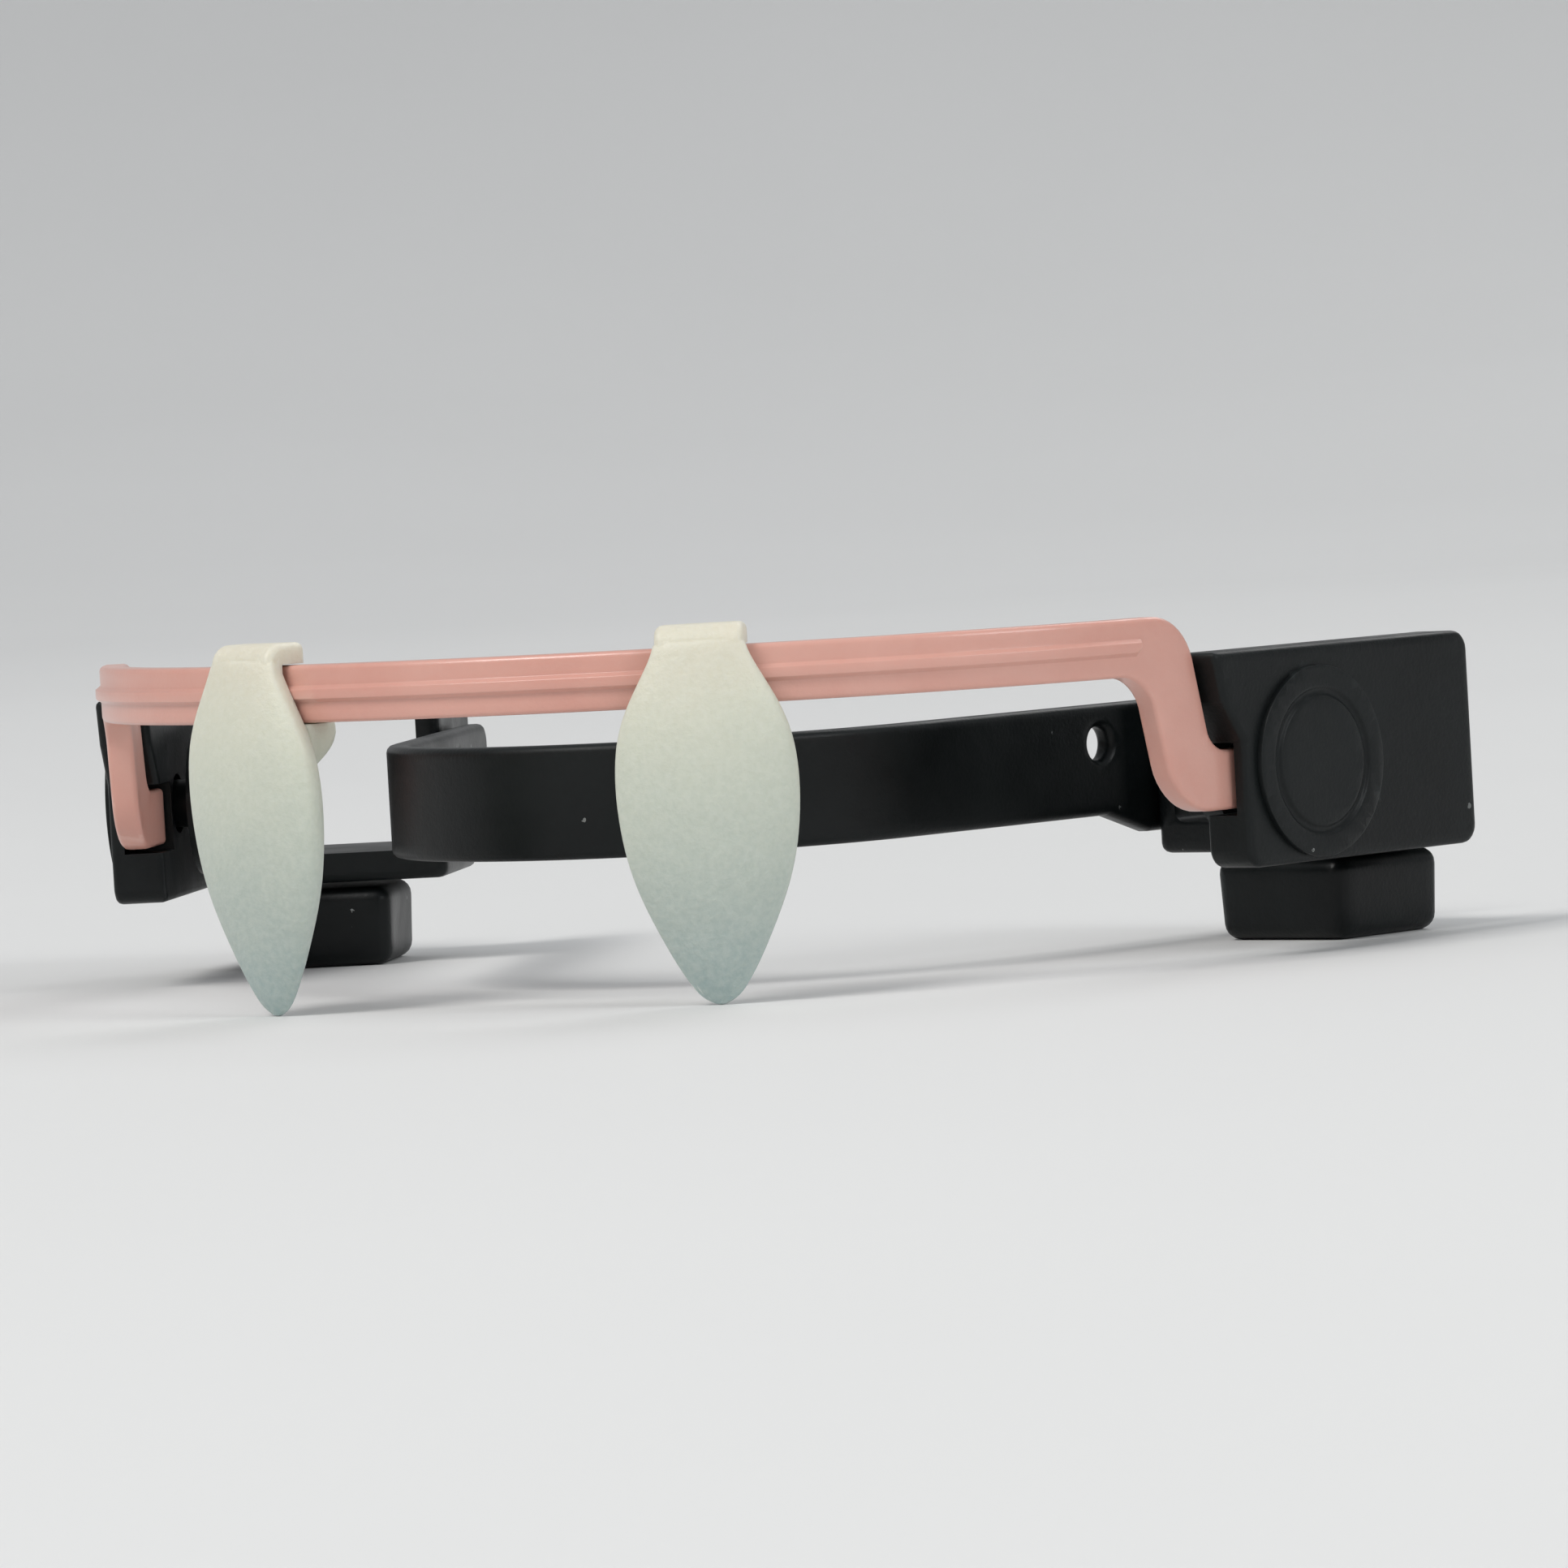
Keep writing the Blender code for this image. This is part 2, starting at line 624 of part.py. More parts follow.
def main():
    """Clear the scene and build the denture."""
    for old in list(bpy.data.objects):
        bpy.data.objects.remove(old)
    parts = new_collection("vampire_fang_denture")
    cutters = new_collection("cutters")
    salmon = plastic("salmon_acrylic", SALMON, 0.28)
    ivory = plastic("ivory_plastic", IVORY, 0.45)
    black = plastic("black_plastic", BLACK, 0.35)
    axis = place_in(parts, "lift_axis", None)
    axis.location = (0.0, pivot_point(1.0).y, PIVOT_Z)
    finish(make_front_bar(parts, cutters), salmon, axis)
    channel = make_bar_channel(cutters)
    for word, side in (("left", -1.0), ("right", 1.0)):
        finish(make_fang(parts, cutters, "fang_" + word, side, channel), ivory, axis)
        finish(make_lever(parts, cutters, "lever_" + word, side), black, axis)
        finish(make_molar_tray(parts, cutters, "molar_tray_" + word, side), black)
        finish(make_bite_pad(parts, "bite_pad_" + word, side), black)
        pin = rod_across(parts, "hinge_pin_" + word, pin_root(side), pin_end(side), PIN_RADIUS)
        finish(pin, black)
    finish(make_lingual_band(parts, cutters), black)


main()
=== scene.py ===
"""Looks of the vampire fang denture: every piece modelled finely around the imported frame.

X runs to the viewer's right, the front faces -Y and Z is up, all in metres. Runs along an
arch are measured from its middle, and "out" is away from the mouth.
"""
import logging
import math
from collections.abc import Callable, Iterator
from contextlib import contextmanager
from dataclasses import dataclass
from enum import Enum
from functools import cache

import bmesh
import bpy
from mathutils import Matrix, Quaternion, Vector


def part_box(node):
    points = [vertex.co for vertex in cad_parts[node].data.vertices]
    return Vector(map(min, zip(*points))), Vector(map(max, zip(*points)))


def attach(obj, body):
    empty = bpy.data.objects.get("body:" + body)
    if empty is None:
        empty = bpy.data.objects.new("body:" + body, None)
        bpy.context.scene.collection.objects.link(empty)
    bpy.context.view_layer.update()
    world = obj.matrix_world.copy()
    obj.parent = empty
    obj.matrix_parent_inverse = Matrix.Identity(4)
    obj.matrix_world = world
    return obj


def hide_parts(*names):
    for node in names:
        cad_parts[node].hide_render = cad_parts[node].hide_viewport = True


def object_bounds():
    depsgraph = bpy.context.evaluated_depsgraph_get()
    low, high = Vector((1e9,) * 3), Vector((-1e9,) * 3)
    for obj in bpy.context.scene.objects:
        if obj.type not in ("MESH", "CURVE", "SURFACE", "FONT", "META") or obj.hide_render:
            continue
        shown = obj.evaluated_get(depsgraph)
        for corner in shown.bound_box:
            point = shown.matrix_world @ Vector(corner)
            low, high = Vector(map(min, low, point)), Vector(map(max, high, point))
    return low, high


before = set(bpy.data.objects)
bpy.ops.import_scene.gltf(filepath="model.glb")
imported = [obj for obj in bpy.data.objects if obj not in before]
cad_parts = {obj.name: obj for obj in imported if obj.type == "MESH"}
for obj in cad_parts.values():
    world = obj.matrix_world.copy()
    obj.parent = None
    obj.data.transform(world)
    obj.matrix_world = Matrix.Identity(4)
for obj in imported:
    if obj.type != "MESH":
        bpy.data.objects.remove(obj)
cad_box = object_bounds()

LOG = logging.getLogger("fang_denture")
Piece = bpy.types.Object
Material = bpy.types.Material
Node = bpy.types.Node
Socket = bpy.types.NodeSocket
Sockets = bpy.types.bpy_prop_collection
Tree = bpy.types.NodeTree
Rule = Callable[[Vector, Vector], bool]
Where = Callable[[Vector], bool]
Pair = tuple[float, float]
Triple = tuple[float, float, float]

# Gap between neighbours, slack for picking by place, and how near points are merged or joined.
CLEARANCE = 0.0003
TINY = 0.00002
MERGE = 0.000002
SEAM = 0.00001
# How far a cutter reaches past what it cuts.
PAST = 0.002
# Least share of a direction along its axis, and the same for flat faces beside rounded edges.
FACING = 0.9
FLATTEST = 0.99


class Side(Enum):
    """The two sides of the denture, as the viewer sees them."""

    LEFT = -1
    RIGHT = 1

    @property
    def word(self) -> str:
        """Give the side's name in small letters."""
        return self.name.lower()


class Body(Enum):
    """The rigid bodies that pieces ride on."""

    MOUTHPIECE = "mouthpiece"
    CARRIER = "fang_carrier"


class Kind(Enum):
    """What a rule selects in edit mode."""

    VERT = "VERT"
    EDGE = "EDGE"
    FACE = "FACE"


def anywhere(_: Vector) -> bool:
    """Let every place count."""
    return True


class Bench:
    """The modelling bench: bpy.ops steps that act on one piece at a time."""

    @staticmethod
    def take(piece: Piece) -> None:
        """Select one piece alone and make it active.

        Args:
            piece: The piece.
        """
        bpy.ops.object.select_all(action="DESELECT")
        piece.select_set(True)
        bpy.context.view_layer.objects.active = piece

    @staticmethod
    def settle(piece: Piece) -> None:
        """Put a piece's place into its mesh, so that its object stands at the origin."""
        Bench.take(piece)
        bpy.ops.object.transform_apply(location=True, rotation=True, scale=True)

    @staticmethod
    def name_new(name: str) -> Piece:
        """Name the primitive that was just added, and put its place into its mesh.

        Args:
            name: The piece's name.

        Returns:
            The new piece.
        """
        piece = bpy.context.active_object
        piece.name = name
        piece.data.name = name
        Bench.settle(piece)
        return piece

    @staticmethod
    def add_box(name: str, low: Triple, high: Triple) -> Piece:
        """Add a box.

        Args:
            name: The box's name.
            low: Its lowest corner.
            high: Its highest corner.

        Returns:
            The box.
        """
        bpy.ops.object.select_all(action="DESELECT")
        middle = (Vector(low) + Vector(high)) / 2.0
        bpy.ops.mesh.primitive_cube_add(size=1.0, location=middle, scale=Vector(high) - Vector(low))
        return Bench.name_new(name)

    @staticmethod
    def add_rod(name: str, start: Vector, end: Vector, radius: float, sides: int) -> Piece:
        """Add a round rod.

        Args:
            name: The rod's name.
            start: The middle of one end.
            end: The middle of the other end.
            radius: Its radius.
            sides: How many sides it has.

        Returns:
            The rod.
        """
        bpy.ops.object.select_all(action="DESELECT")
        turn = (end - start).to_track_quat("Z", "Y").to_euler()
        bpy.ops.mesh.primitive_cylinder_add(
            vertices=sides, radius=radius, depth=(end - start).length,
            location=(start + end) / 2.0, rotation=turn)
        return Bench.name_new(name)

    @staticmethod
    @contextmanager
    def editing(piece: Piece) -> Iterator[None]:
        """Open a piece in edit mode with nothing selected, and close it at the end.

        Args:
            piece: The piece.

        Returns:
            The context.
        """
        Bench.take(piece)
        bpy.ops.object.mode_set(mode="EDIT")
        bpy.ops.mesh.select_all(action="DESELECT")
        yield
        bpy.ops.object.mode_set(mode="OBJECT")

    @staticmethod
    def pick(piece: Piece, kind: Kind, rule: Rule) -> None:
        """Select, in edit mode, only what meets a rule.

        Args:
            piece: The piece in edit mode.
            kind: Whether vertices, edges or faces are selected.
            rule: Takes an element's middle and its normal or direction.
        """
        bpy.ops.mesh.select_mode(type=kind.value)
        bpy.ops.mesh.select_all(action="DESELECT")
        shape = bmesh.from_edit_mesh(piece.data)
        if kind is Kind.VERT:
            found = [(vert, vert.co, vert.normal) for vert in shape.verts]
        elif kind is Kind.EDGE:
            ends = [(edge, edge.verts[0].co, edge.verts[1].co) for edge in shape.edges]
            found = [(edge, (one + two) / 2.0, (two - one).normalized()) for edge, one, two in ends]
        else:
            found = [(face, face.calc_center_median(), face.normal) for face in shape.faces]
        for element, middle, direction in found:
            if rule(middle, direction):
                element.select_set(True)
        shape.select_flush_mode()
        bmesh.update_edit_mesh(piece.data)

    @staticmethod
    def pick_verts(piece: Piece, where: Where) -> None:
        """Select the corners whose places count."""
        Bench.pick(piece, Kind.VERT, lambda place, _: where(place))

    @staticmethod
    def pick_faces(piece: Piece, way: str, where: Where = anywhere, least: float = FACING) -> None:
        """Select the faces that look one way.

        Args:
            piece: The piece in edit mode.
            way: A sign and an axis, such as "-y".
            where: Tells whether a face's middle counts.
            least: The least share of a face's normal that way.
        """
        sign = float(way[0] + "1")
        axis = "xyz".index(way[1])
        Bench.pick(piece, Kind.FACE, lambda middle, normal: sign * normal[axis] > least and where(middle))

    @staticmethod
    def round_corners(piece: Piece, axis: str, where: Where, reach: float, steps: int) -> None:
        """Bevel edges into round corners.

        Args:
            piece: The piece in edit mode.
            axis: The axis that the edges run along.
            where: Tells whether an edge's middle counts.
            reach: How far the round starts from each corner.
            steps: How many faces make the round.
        """
        line = "xyz".index(axis)
        Bench.pick(piece, Kind.EDGE, lambda middle, run: abs(run[line]) > FACING and where(middle))
        bpy.ops.mesh.bevel(offset=reach, segments=steps, affect="EDGES", clamp_overlap=False)

    @staticmethod
    def extrude(move: Triple) -> None:
        """Extrude the selected faces by a move."""
        bpy.ops.mesh.extrude_region_move(TRANSFORM_OT_translate={"value": move})

    @staticmethod
    def face_outwards(inside: bool = False) -> None:
        """Turn all faces of the piece in edit mode outwards, or inwards."""
        bpy.ops.mesh.select_all(action="SELECT")
        bpy.ops.mesh.normals_make_consistent(inside=inside)

    @staticmethod
    def use(piece: Piece, kind: str, **settings: object) -> None:
        """Add a modifier to a piece and apply it at once.

        Args:
            piece: The piece.
            kind: The modifier's type.
            settings: Its settings.
        """
        Bench.take(piece)
        modifier = piece.modifiers.new(kind.title(), kind)
        for setting, value in settings.items():
            setattr(modifier, setting, value)
        bpy.ops.object.modifier_apply(modifier=modifier.name)

    @staticmethod
    def soften(piece: Piece, width: float, steps: int = 3, angle: float = 40.0) -> None:
        """Round a piece's edges that are sharper than an angle in degrees."""
        Bench.use(
            piece, "BEVEL", width=width, segments=steps, limit_method="ANGLE",
            angle_limit=math.radians(angle), use_clamp_overlap=True)

    @staticmethod
    def combine(piece: Piece, other: Piece, operation: str) -> None:
        """Join or cut a piece with another, which is used up."""
        Bench.use(piece, "BOOLEAN", operation=operation, object=other, solver="EXACT")
        bpy.data.objects.remove(other)

    @staticmethod
    def open_middle(half: Piece) -> None:
        """Open a right half, in edit mode, where it meets the left half."""
        Bench.pick_faces(half, "-x")
        bpy.ops.mesh.delete(type="ONLY_FACE")

    @staticmethod
    def join_halves(half: Piece) -> None:
        """Mirror a right half to the left and join them."""
        Bench.use(half, "MIRROR", use_axis=(True, False, False), use_clip=True, merge_threshold=SEAM)

    @staticmethod
    def slice_up(piece: Piece, cells: Triple) -> None:
        """Slice a piece into even cells, so that it can bend and its edge mask of rubbing and painted
        highlight comes out even.

        Args:
            piece: The piece.
            cells: The greatest cell along X, Y and Z, or 0.0 for no slices that way.
        """
        corners = [Vector(corner) for corner in piece.bound_box]
        with Bench.editing(piece):
            for axis, cell in enumerate(cells):
                if cell == 0.0:
                    continue
                low = min(corner[axis] for corner in corners)
                length = max(corner[axis] for corner in corners) - low
                across = Matrix.Identity(3)[axis]
                count = math.ceil(length / cell)
                for index in range(1, count):
                    bpy.ops.mesh.select_all(action="SELECT")
                    bpy.ops.mesh.bisect(
                        plane_co=across * (low + length * index / count), plane_no=across,
                        threshold=TINY)

    @staticmethod
    def place(piece: Piece, matrix: Matrix) -> None:
        """Move a piece by a matrix, and keep its object at the origin."""
        piece.matrix_world = matrix
        Bench.settle(piece)

    @staticmethod
    def mirror_copy(piece: Piece) -> Piece:
        """Copy a right piece with its own mesh to the left side.

        Args:
            piece: The right piece, with its side in its name.

        Returns:
            The left piece.
        """
        Bench.take(piece)
        bpy.ops.object.duplicate(linked=False)
        twin = bpy.context.active_object
        twin.scale = (-1.0, 1.0, 1.0)
        return Bench.name_new(piece.name.replace(Side.RIGHT.word, Side.LEFT.word))

    @staticmethod
    def close_up(piece: Piece, angle: float) -> None:
        """Merge doubles, turn the faces outwards and shade the piece.

        Args:
            piece: The finished piece.
            angle: Edges sharper than this many degrees stay sharp.
        """
        with Bench.editing(piece):
            bpy.ops.mesh.select_all(action="SELECT")
            bpy.ops.mesh.remove_doubles(threshold=MERGE)
            Bench.face_outwards()
        Bench.take(piece)
        bpy.ops.object.shade_smooth_by_angle(angle=math.radians(angle))
        Bench.use(piece, "WEIGHTED_NORMAL", keep_sharp=True, weight=50)


@dataclass(frozen=True)
class Arch:
    """The line in plan that a band's outer face follows.

    Attributes:
        arcs: Radius and last heading of each arc, from the middle outwards.
        front_y: Y of the outer face at the middle.
        step: The run between two points of the guide line.
    """

    arcs: tuple[Pair, ...]
    front_y: float
    step: float = 0.0003

    def run(self) -> float:
        """Give the run from the middle to the end of the last arc.

        Returns:
            The run.
        """
        total = 0.0
        heading = 0.0
        for radius, last_heading in self.arcs:
            total += radius * (last_heading - heading)
            heading = last_heading
        return total

    def at(self, run: float) -> Triple:
        """Give X, Y and heading at a run along the arch.

        Args:
            run: The signed run from the middle.

        Returns:
            The X and Y of the point and the heading of the line there.
        """
        x, y, heading, left = 0.0, self.front_y, 0.0, abs(run)
        for radius, last_heading in self.arcs:
            turn = min(left / radius, last_heading - heading)
            x += radius * (math.sin(heading + turn) - math.sin(heading))
            y += radius * (math.cos(heading) - math.cos(heading + turn))
            heading += turn
            left -= turn * radius
        x += left * math.cos(heading)
        y += left * math.sin(heading)
        side = math.copysign(1.0, run)
        return side * x, y, side * heading

    def frame_at(self, run: float) -> Matrix:
        """Give the frame at a run: X along the line, -Y outwards and Z up."""
        x, y, heading = self.at(run)
        return Matrix.Translation((x, y, 0.0)) @ Matrix.Rotation(heading, 4, "Z")

    def bend(self, piece: Piece, reach: float) -> None:
        """Bend a straight blank, drawn along X with its outer face at Y 0, round the arch.

        Args:
            piece: The blank.
            reach: A run past both ends of the blank.
        """
        line = bpy.data.curves.new("arch_guide", "CURVE")
        line.dimensions = "2D"
        count = math.ceil(2.0 * reach / self.step)
        spline = line.splines.new("POLY")
        spline.points.add(count)
        for index, point in enumerate(spline.points):
            x, y, _ = self.at(-reach + 2.0 * reach * index / count)
            point.co = (x, y, 0.0, 1.0)
        guide = bpy.data.objects.new("arch_guide", line)
        bpy.context.scene.collection.objects.link(guide)
        piece.data.transform(Matrix.Translation((reach, 0.0, 0.0)))
        Bench.use(piece, "CURVE", object=guide, deform_axis="POS_X")
        bpy.data.objects.remove(guide)


@dataclass(frozen=True)
class BarSizes:
    """Sizes of the arched front bar, its legs and its straps."""

    front_radius: float = 0.034
    cheek_radius: float = 0.024
    front_heading: float = math.radians(35.0)
    lever_heading: float = math.radians(72.0)
    middle_z: float = 0.0150
    height: float = 0.0027
    thickness: float = 0.0013
    edge: float = 0.00028
    rib_width: float = 0.0008
    rib_height: float = 0.00025
    leg_width: float = 0.0033
    leg_lean: float = math.radians(13.0)
    shoulder: float = 0.0026
    armpit: float = 0.0020
    heel: float = 0.0030
    instep: float = 0.0013
    strap_bottom_z: float = 0.0071
    strap_height: float = 0.0028
    strap_end_run: float = 0.0054

    @property
    def top_z(self) -> float:
        """Give the height of the band's top edge."""
        return self.middle_z + self.height / 2.0

    @property
    def bottom_z(self) -> float:
        """Give the height of the band's bottom edge."""
        return self.middle_z - self.height / 2.0

    @property
    def strap_top_z(self) -> float:
        """Give the height of the strap's top edge."""
        return self.strap_bottom_z + self.strap_height

    def arch(self) -> Arch:
        """Give the bar's arch, placed by the frame's own bar."""
        arcs = ((self.front_radius, self.front_heading), (self.cheek_radius, self.lever_heading))
        return Arch(arcs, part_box("front_bar")[0][1] + self.rib_height)

    def leg_back(self, height: float) -> float:
        """Give the run of the leg's rear edge at a height."""
        return self.arch().run() + (self.top_z - height) * math.tan(self.leg_lean)

    def side_turn(self, side: Side) -> Matrix:
        """Give the turn from the part's frame to the line of one lever."""
        return Matrix.Rotation(side.value * (self.lever_heading - math.pi / 2.0), 4, "Z")

    def side_frame(self, side: Side) -> Matrix:
        """Give the frame of one side: X across the lever, Y back along it, Z up."""
        x, y, _ = self.arch().at(side.value * self.arch().run())
        return Matrix.Translation((x, y, 0.0)) @ self.side_turn(side)


BAR = BarSizes()


@dataclass(frozen=True)
class LeverSizes:
    """Sizes of a lever, its boss and its hinge."""

    proud: float = 0.0010
    thickness: float = 0.0026
    front_run: float = 0.0026
    end_run: float = 0.0196
    bottom_z: float = 0.0043
    top_z: float = 0.0145
    corner: float = 0.0009
    brow_z: float = 0.0122
    edge: float = 0.0003
    groove_edge: float = 0.00008
    boss_radius: float = 0.0045
    boss_height: float = 0.0003
    boss_edge: float = 0.00006
    rim_width: float = 0.0010
    ring_wall: float = 0.00014
    ring_width: float = 0.00020
    pivot_run: float = 0.0079
    pivot_z: float = 0.0090
    pin_radius: float = 0.0012
    pin_tail: float = 0.0006
    pin_edge: float = 0.00015
    pin_rim: float = 0.0004
    pin_dimple: Pair = (0.00012, 0.00015)

    @property
    def inner(self) -> float:
        """Give how far out the lever's inner face lies."""
        return self.proud - self.thickness

    def pivot(self, side: Side) -> Vector:
        """Give the middle of one hinge, halfway through the lever's thickness."""
        local = Vector((side.value * (self.proud + self.inner) / 2.0, self.pivot_run, self.pivot_z))
        return BAR.side_frame(side) @ local


@dataclass(frozen=True)
class TraySizes:
    """Sizes of a molar tray, its ear and its bite pad."""

    lever_gap: float = 0.0010
    front_run: float = 0.0135
    length: float = 0.0099
    width: float = 0.0114
    wall: float = 0.0012
    floor: float = 0.0015
    bottom_z: float = 0.0043
    top_z: float = 0.0130
    edge: float = 0.0005
    fine_edge: float = 0.00012
    floor_round: float = 0.0006
    ear_radius: float = 0.0036
    nose_share: float = 0.98
    pad_inset: float = 0.0003
    pad_width: float = 0.0080
    pad_length: float = 0.0078
    pad_edge: float = 0.0008
    pad_draft: float = 0.965

    @property
    def outer(self) -> float:
        """Give how far out the tray's outer face lies."""
        return LEVER.inner - self.lever_gap

    @property
    def inner(self) -> float:
        """Give how far out the tray's inner face lies."""
        return self.outer - self.width


LEVER = LeverSizes()
TRAY = TraySizes()


class NodeSheet:
    """A short hand for adding and linking nodes on one node tree."""

    def __init__(self, tree: Tree) -> None:
        """Keep the tree that nodes are added to."""
        self.tree = tree

    def feed(self, socket: Socket, value: object) -> None:
        """Give an input a plain value or another node's output.

        Args:
            socket: The input.
            value: The value or the output.
        """
        if isinstance(value, bpy.types.NodeSocket):
            self.tree.links.new(value, socket)
        else:
            socket.default_value = value

    def add(self, kind: str, inputs: dict[str | int, object] | None = None, **settings: object) -> Node:
        """Add a node.

        Args:
            kind: The node's type name.
            inputs: Values or outputs for its inputs, by name or index.
            settings: Properties of the node itself.

        Returns:
            The new node.
        """
        node = self.tree.nodes.new(kind)
        for setting, value in settings.items():
            setattr(node, setting, value)
        for name, value in (inputs or {}).items():
            self.feed(node.inputs[name], value)
        return node

    def ramp(self, factor: Socket, stops: list[tuple[float, Triple]]) -> Socket:
        """Add a smooth colour ramp.

        Args:
            factor: Where on the ramp a point lies.
            stops: Place and colour of each stop.

        Returns:
            The ramp's colour.
        """
        node = self.add("ShaderNodeValToRGB", {"Fac": factor})
        band = node.color_ramp
        band.interpolation = "B_SPLINE"
        while len(band.elements) < len(stops):
            band.elements.new(0.5)
        for element, (place, colour) in zip(band.elements, stops):
            element.position = place
            element.color = (*colour, 1.0)
        return node.outputs["Color"]

    def mix(self, factor: Socket, first: object, second: object) -> Socket:
        """Mix two colours and give the result."""
        one, two = [(*value, 1.0) if isinstance(value, tuple) else value for value in (first, second)]
        return self.add("ShaderNodeMix", {0: factor, 6: one, 7: two}, data_type="RGBA").outputs[2]

    def math(self, operation: str, first: object, second: object) -> Socket:
        """Add a Math node and give its result."""
        return self.add("ShaderNodeMath", {0: first, 1: second}, operation=operation).outputs[0]

    def spread(self, value: Socket, source: Pair, target: Pair) -> Socket:
        """Map a value from one range to another, held at the ends."""
        return self.add("ShaderNodeMapRange", {
            "Value": value, "From Min": source[0], "From Max": source[1],
            "To Min": target[0], "To Max": target[1]}).outputs["Result"]

    def noise(
        self, place: Socket, scale: object, detail: float, roughness: float = 0.5, distortion: float = 0.0,
    ) -> Node:
        """Add a noise texture."""
        return self.add("ShaderNodeTexNoise", {
            "Vector": place, "Scale": scale, "Detail": detail, "Roughness": roughness,
            "Distortion": distortion})

    def effect(self, tree: Tree, place: Socket, **values: float) -> Sockets:
        """Place a shared effect with its own values.

        Args:
            tree: The effect's node group.
            place: The coordinates that it reads.
            values: Its other inputs, with _ for each space.

        Returns:
            The effect's outputs.
        """
        inputs = {label.replace("_", " "): value for label, value in values.items()}
        return self.add("ShaderNodeGroup", {"Vector": place, **inputs}, node_tree=tree).outputs


class Effects:
    """Node groups that several materials share, each built once."""

    @staticmethod
    def start(name: str, inputs: dict[str, float], outputs: list[str]) -> tuple[NodeSheet, Sockets, Sockets]:
        """Start a group with a Vector input and further number inputs and outputs.

        Args:
            name: The group's name.
            inputs: The number inputs with their usual values.
            outputs: The number outputs.

        Returns:
            The group's sheet, what it is given and where its results go, by name.
        """
        tree = bpy.data.node_groups.new(name, "ShaderNodeTree")
        tree.interface.new_socket(name="Vector", in_out="INPUT", socket_type="NodeSocketVector")
        for label, value in inputs.items():
            socket = tree.interface.new_socket(name=label, in_out="INPUT", socket_type="NodeSocketFloat")
            socket.default_value = value
        for label in outputs:
            tree.interface.new_socket(name=label, in_out="OUTPUT", socket_type="NodeSocketFloat")
        sheet = NodeSheet(tree)
        return sheet, sheet.add("NodeGroupInput").outputs, sheet.add("NodeGroupOutput").inputs

    @staticmethod
    @cache
    def grain() -> Tree:
        """Give the fine grain of a moulded surface: soft pits over a low wave.

        Returns:
            The node group.
        """
        sheet, given, result = Effects.start(
            "moulded_grain", {"Pits per metre": 3000.0, "Wave per metre": 400.0}, ["Height", "Mask"])
        pits = sheet.noise(given["Vector"], given["Pits per metre"], 3.0, 0.6).outputs["Fac"]
        wave = sheet.noise(given["Vector"], given["Wave per metre"], 2.0).outputs["Fac"]
        sheet.feed(result["Height"], sheet.math("ADD", pits, sheet.math("MULTIPLY", wave, 1.6)))
        sheet.feed(result["Mask"], sheet.spread(pits, (0.35, 0.65), (0.0, 1.0)))
        return sheet.tree

    @staticmethod
    @cache
    def drift() -> Tree:
        """Give the slow change of tone over a moulded piece.

        Returns:
            The node group.
        """
        sheet, given, result = Effects.start("tone_drift", {"Clouds per metre": 120.0}, ["Mask"])
        cloud = sheet.noise(given["Vector"], given["Clouds per metre"], 4.0, 0.55, 0.4)
        sheet.feed(result["Mask"], sheet.spread(cloud.outputs["Fac"], (0.3, 0.7), (0.0, 1.0)))
        return sheet.tree

    @staticmethod
    @cache
    def specks() -> Tree:
        """Give scattered dust specks with ragged rims.

        Returns:
            The node group.
        """
        sheet, given, result = Effects.start(
            "dust_specks", {"Cells per metre": 900.0, "Size": 0.12, "Share": 0.12, "Ragged": 0.0002},
            ["Mask"])
        ragged = sheet.noise(given["Vector"], 9000.0, 2.0).outputs["Color"]
        push = sheet.add("ShaderNodeVectorMath", {0: ragged, 1: (0.5, 0.5, 0.5)}, operation="SUBTRACT")
        scaled = sheet.add(
            "ShaderNodeVectorMath", {0: push.outputs[0], "Scale": given["Ragged"]}, operation="SCALE")
        moved = sheet.add(
            "ShaderNodeVectorMath", {0: given["Vector"], 1: scaled.outputs[0]}, operation="ADD")
        cells = sheet.add("ShaderNodeTexVoronoi", {
            "Vector": moved.outputs[0], "Scale": given["Cells per metre"]}).outputs
        near = sheet.math("LESS_THAN", cells["Distance"], given["Size"])
        chance = sheet.add("ShaderNodeSeparateColor", {"Color": cells["Color"]}).outputs
        rare = sheet.math("LESS_THAN", chance[0], given["Share"])
        bright = sheet.spread(chance[1], (0.0, 1.0), (0.25, 1.0))
        sheet.feed(result["Mask"], sheet.math("MULTIPLY", sheet.math("MULTIPLY", near, rare), bright))
        return sheet.tree

    @staticmethod
    @cache
    def worn_edges() -> Tree:
        """Give the mask of a piece's convex edges, broken up by noise: partly rubbing, partly painted
        highlight where edges catch the light.

        Returns:
            The node group.
        """
        sheet, given, result = Effects.start(
            "worn_edges", {"Breaks per metre": 900.0, "Start": 0.53, "Reach": 0.06}, ["Mask"])
        # Pointiness picks the convex edges that get lighter: partly rubbing, partly painted highlight.
        bulge = sheet.add("ShaderNodeNewGeometry").outputs["Pointiness"]
        edge = sheet.math("DIVIDE", sheet.math("SUBTRACT", bulge, given["Start"]), given["Reach"])
        held = sheet.add("ShaderNodeClamp", {"Value": edge}).outputs[0]
        noise = sheet.noise(given["Vector"], given["Breaks per metre"], 3.0).outputs["Fac"]
        broken = sheet.spread(noise, (0.35, 0.6), (0.25, 1.0))
        sheet.feed(result["Mask"], sheet.math("MULTIPLY", held, broken))
        return sheet.tree


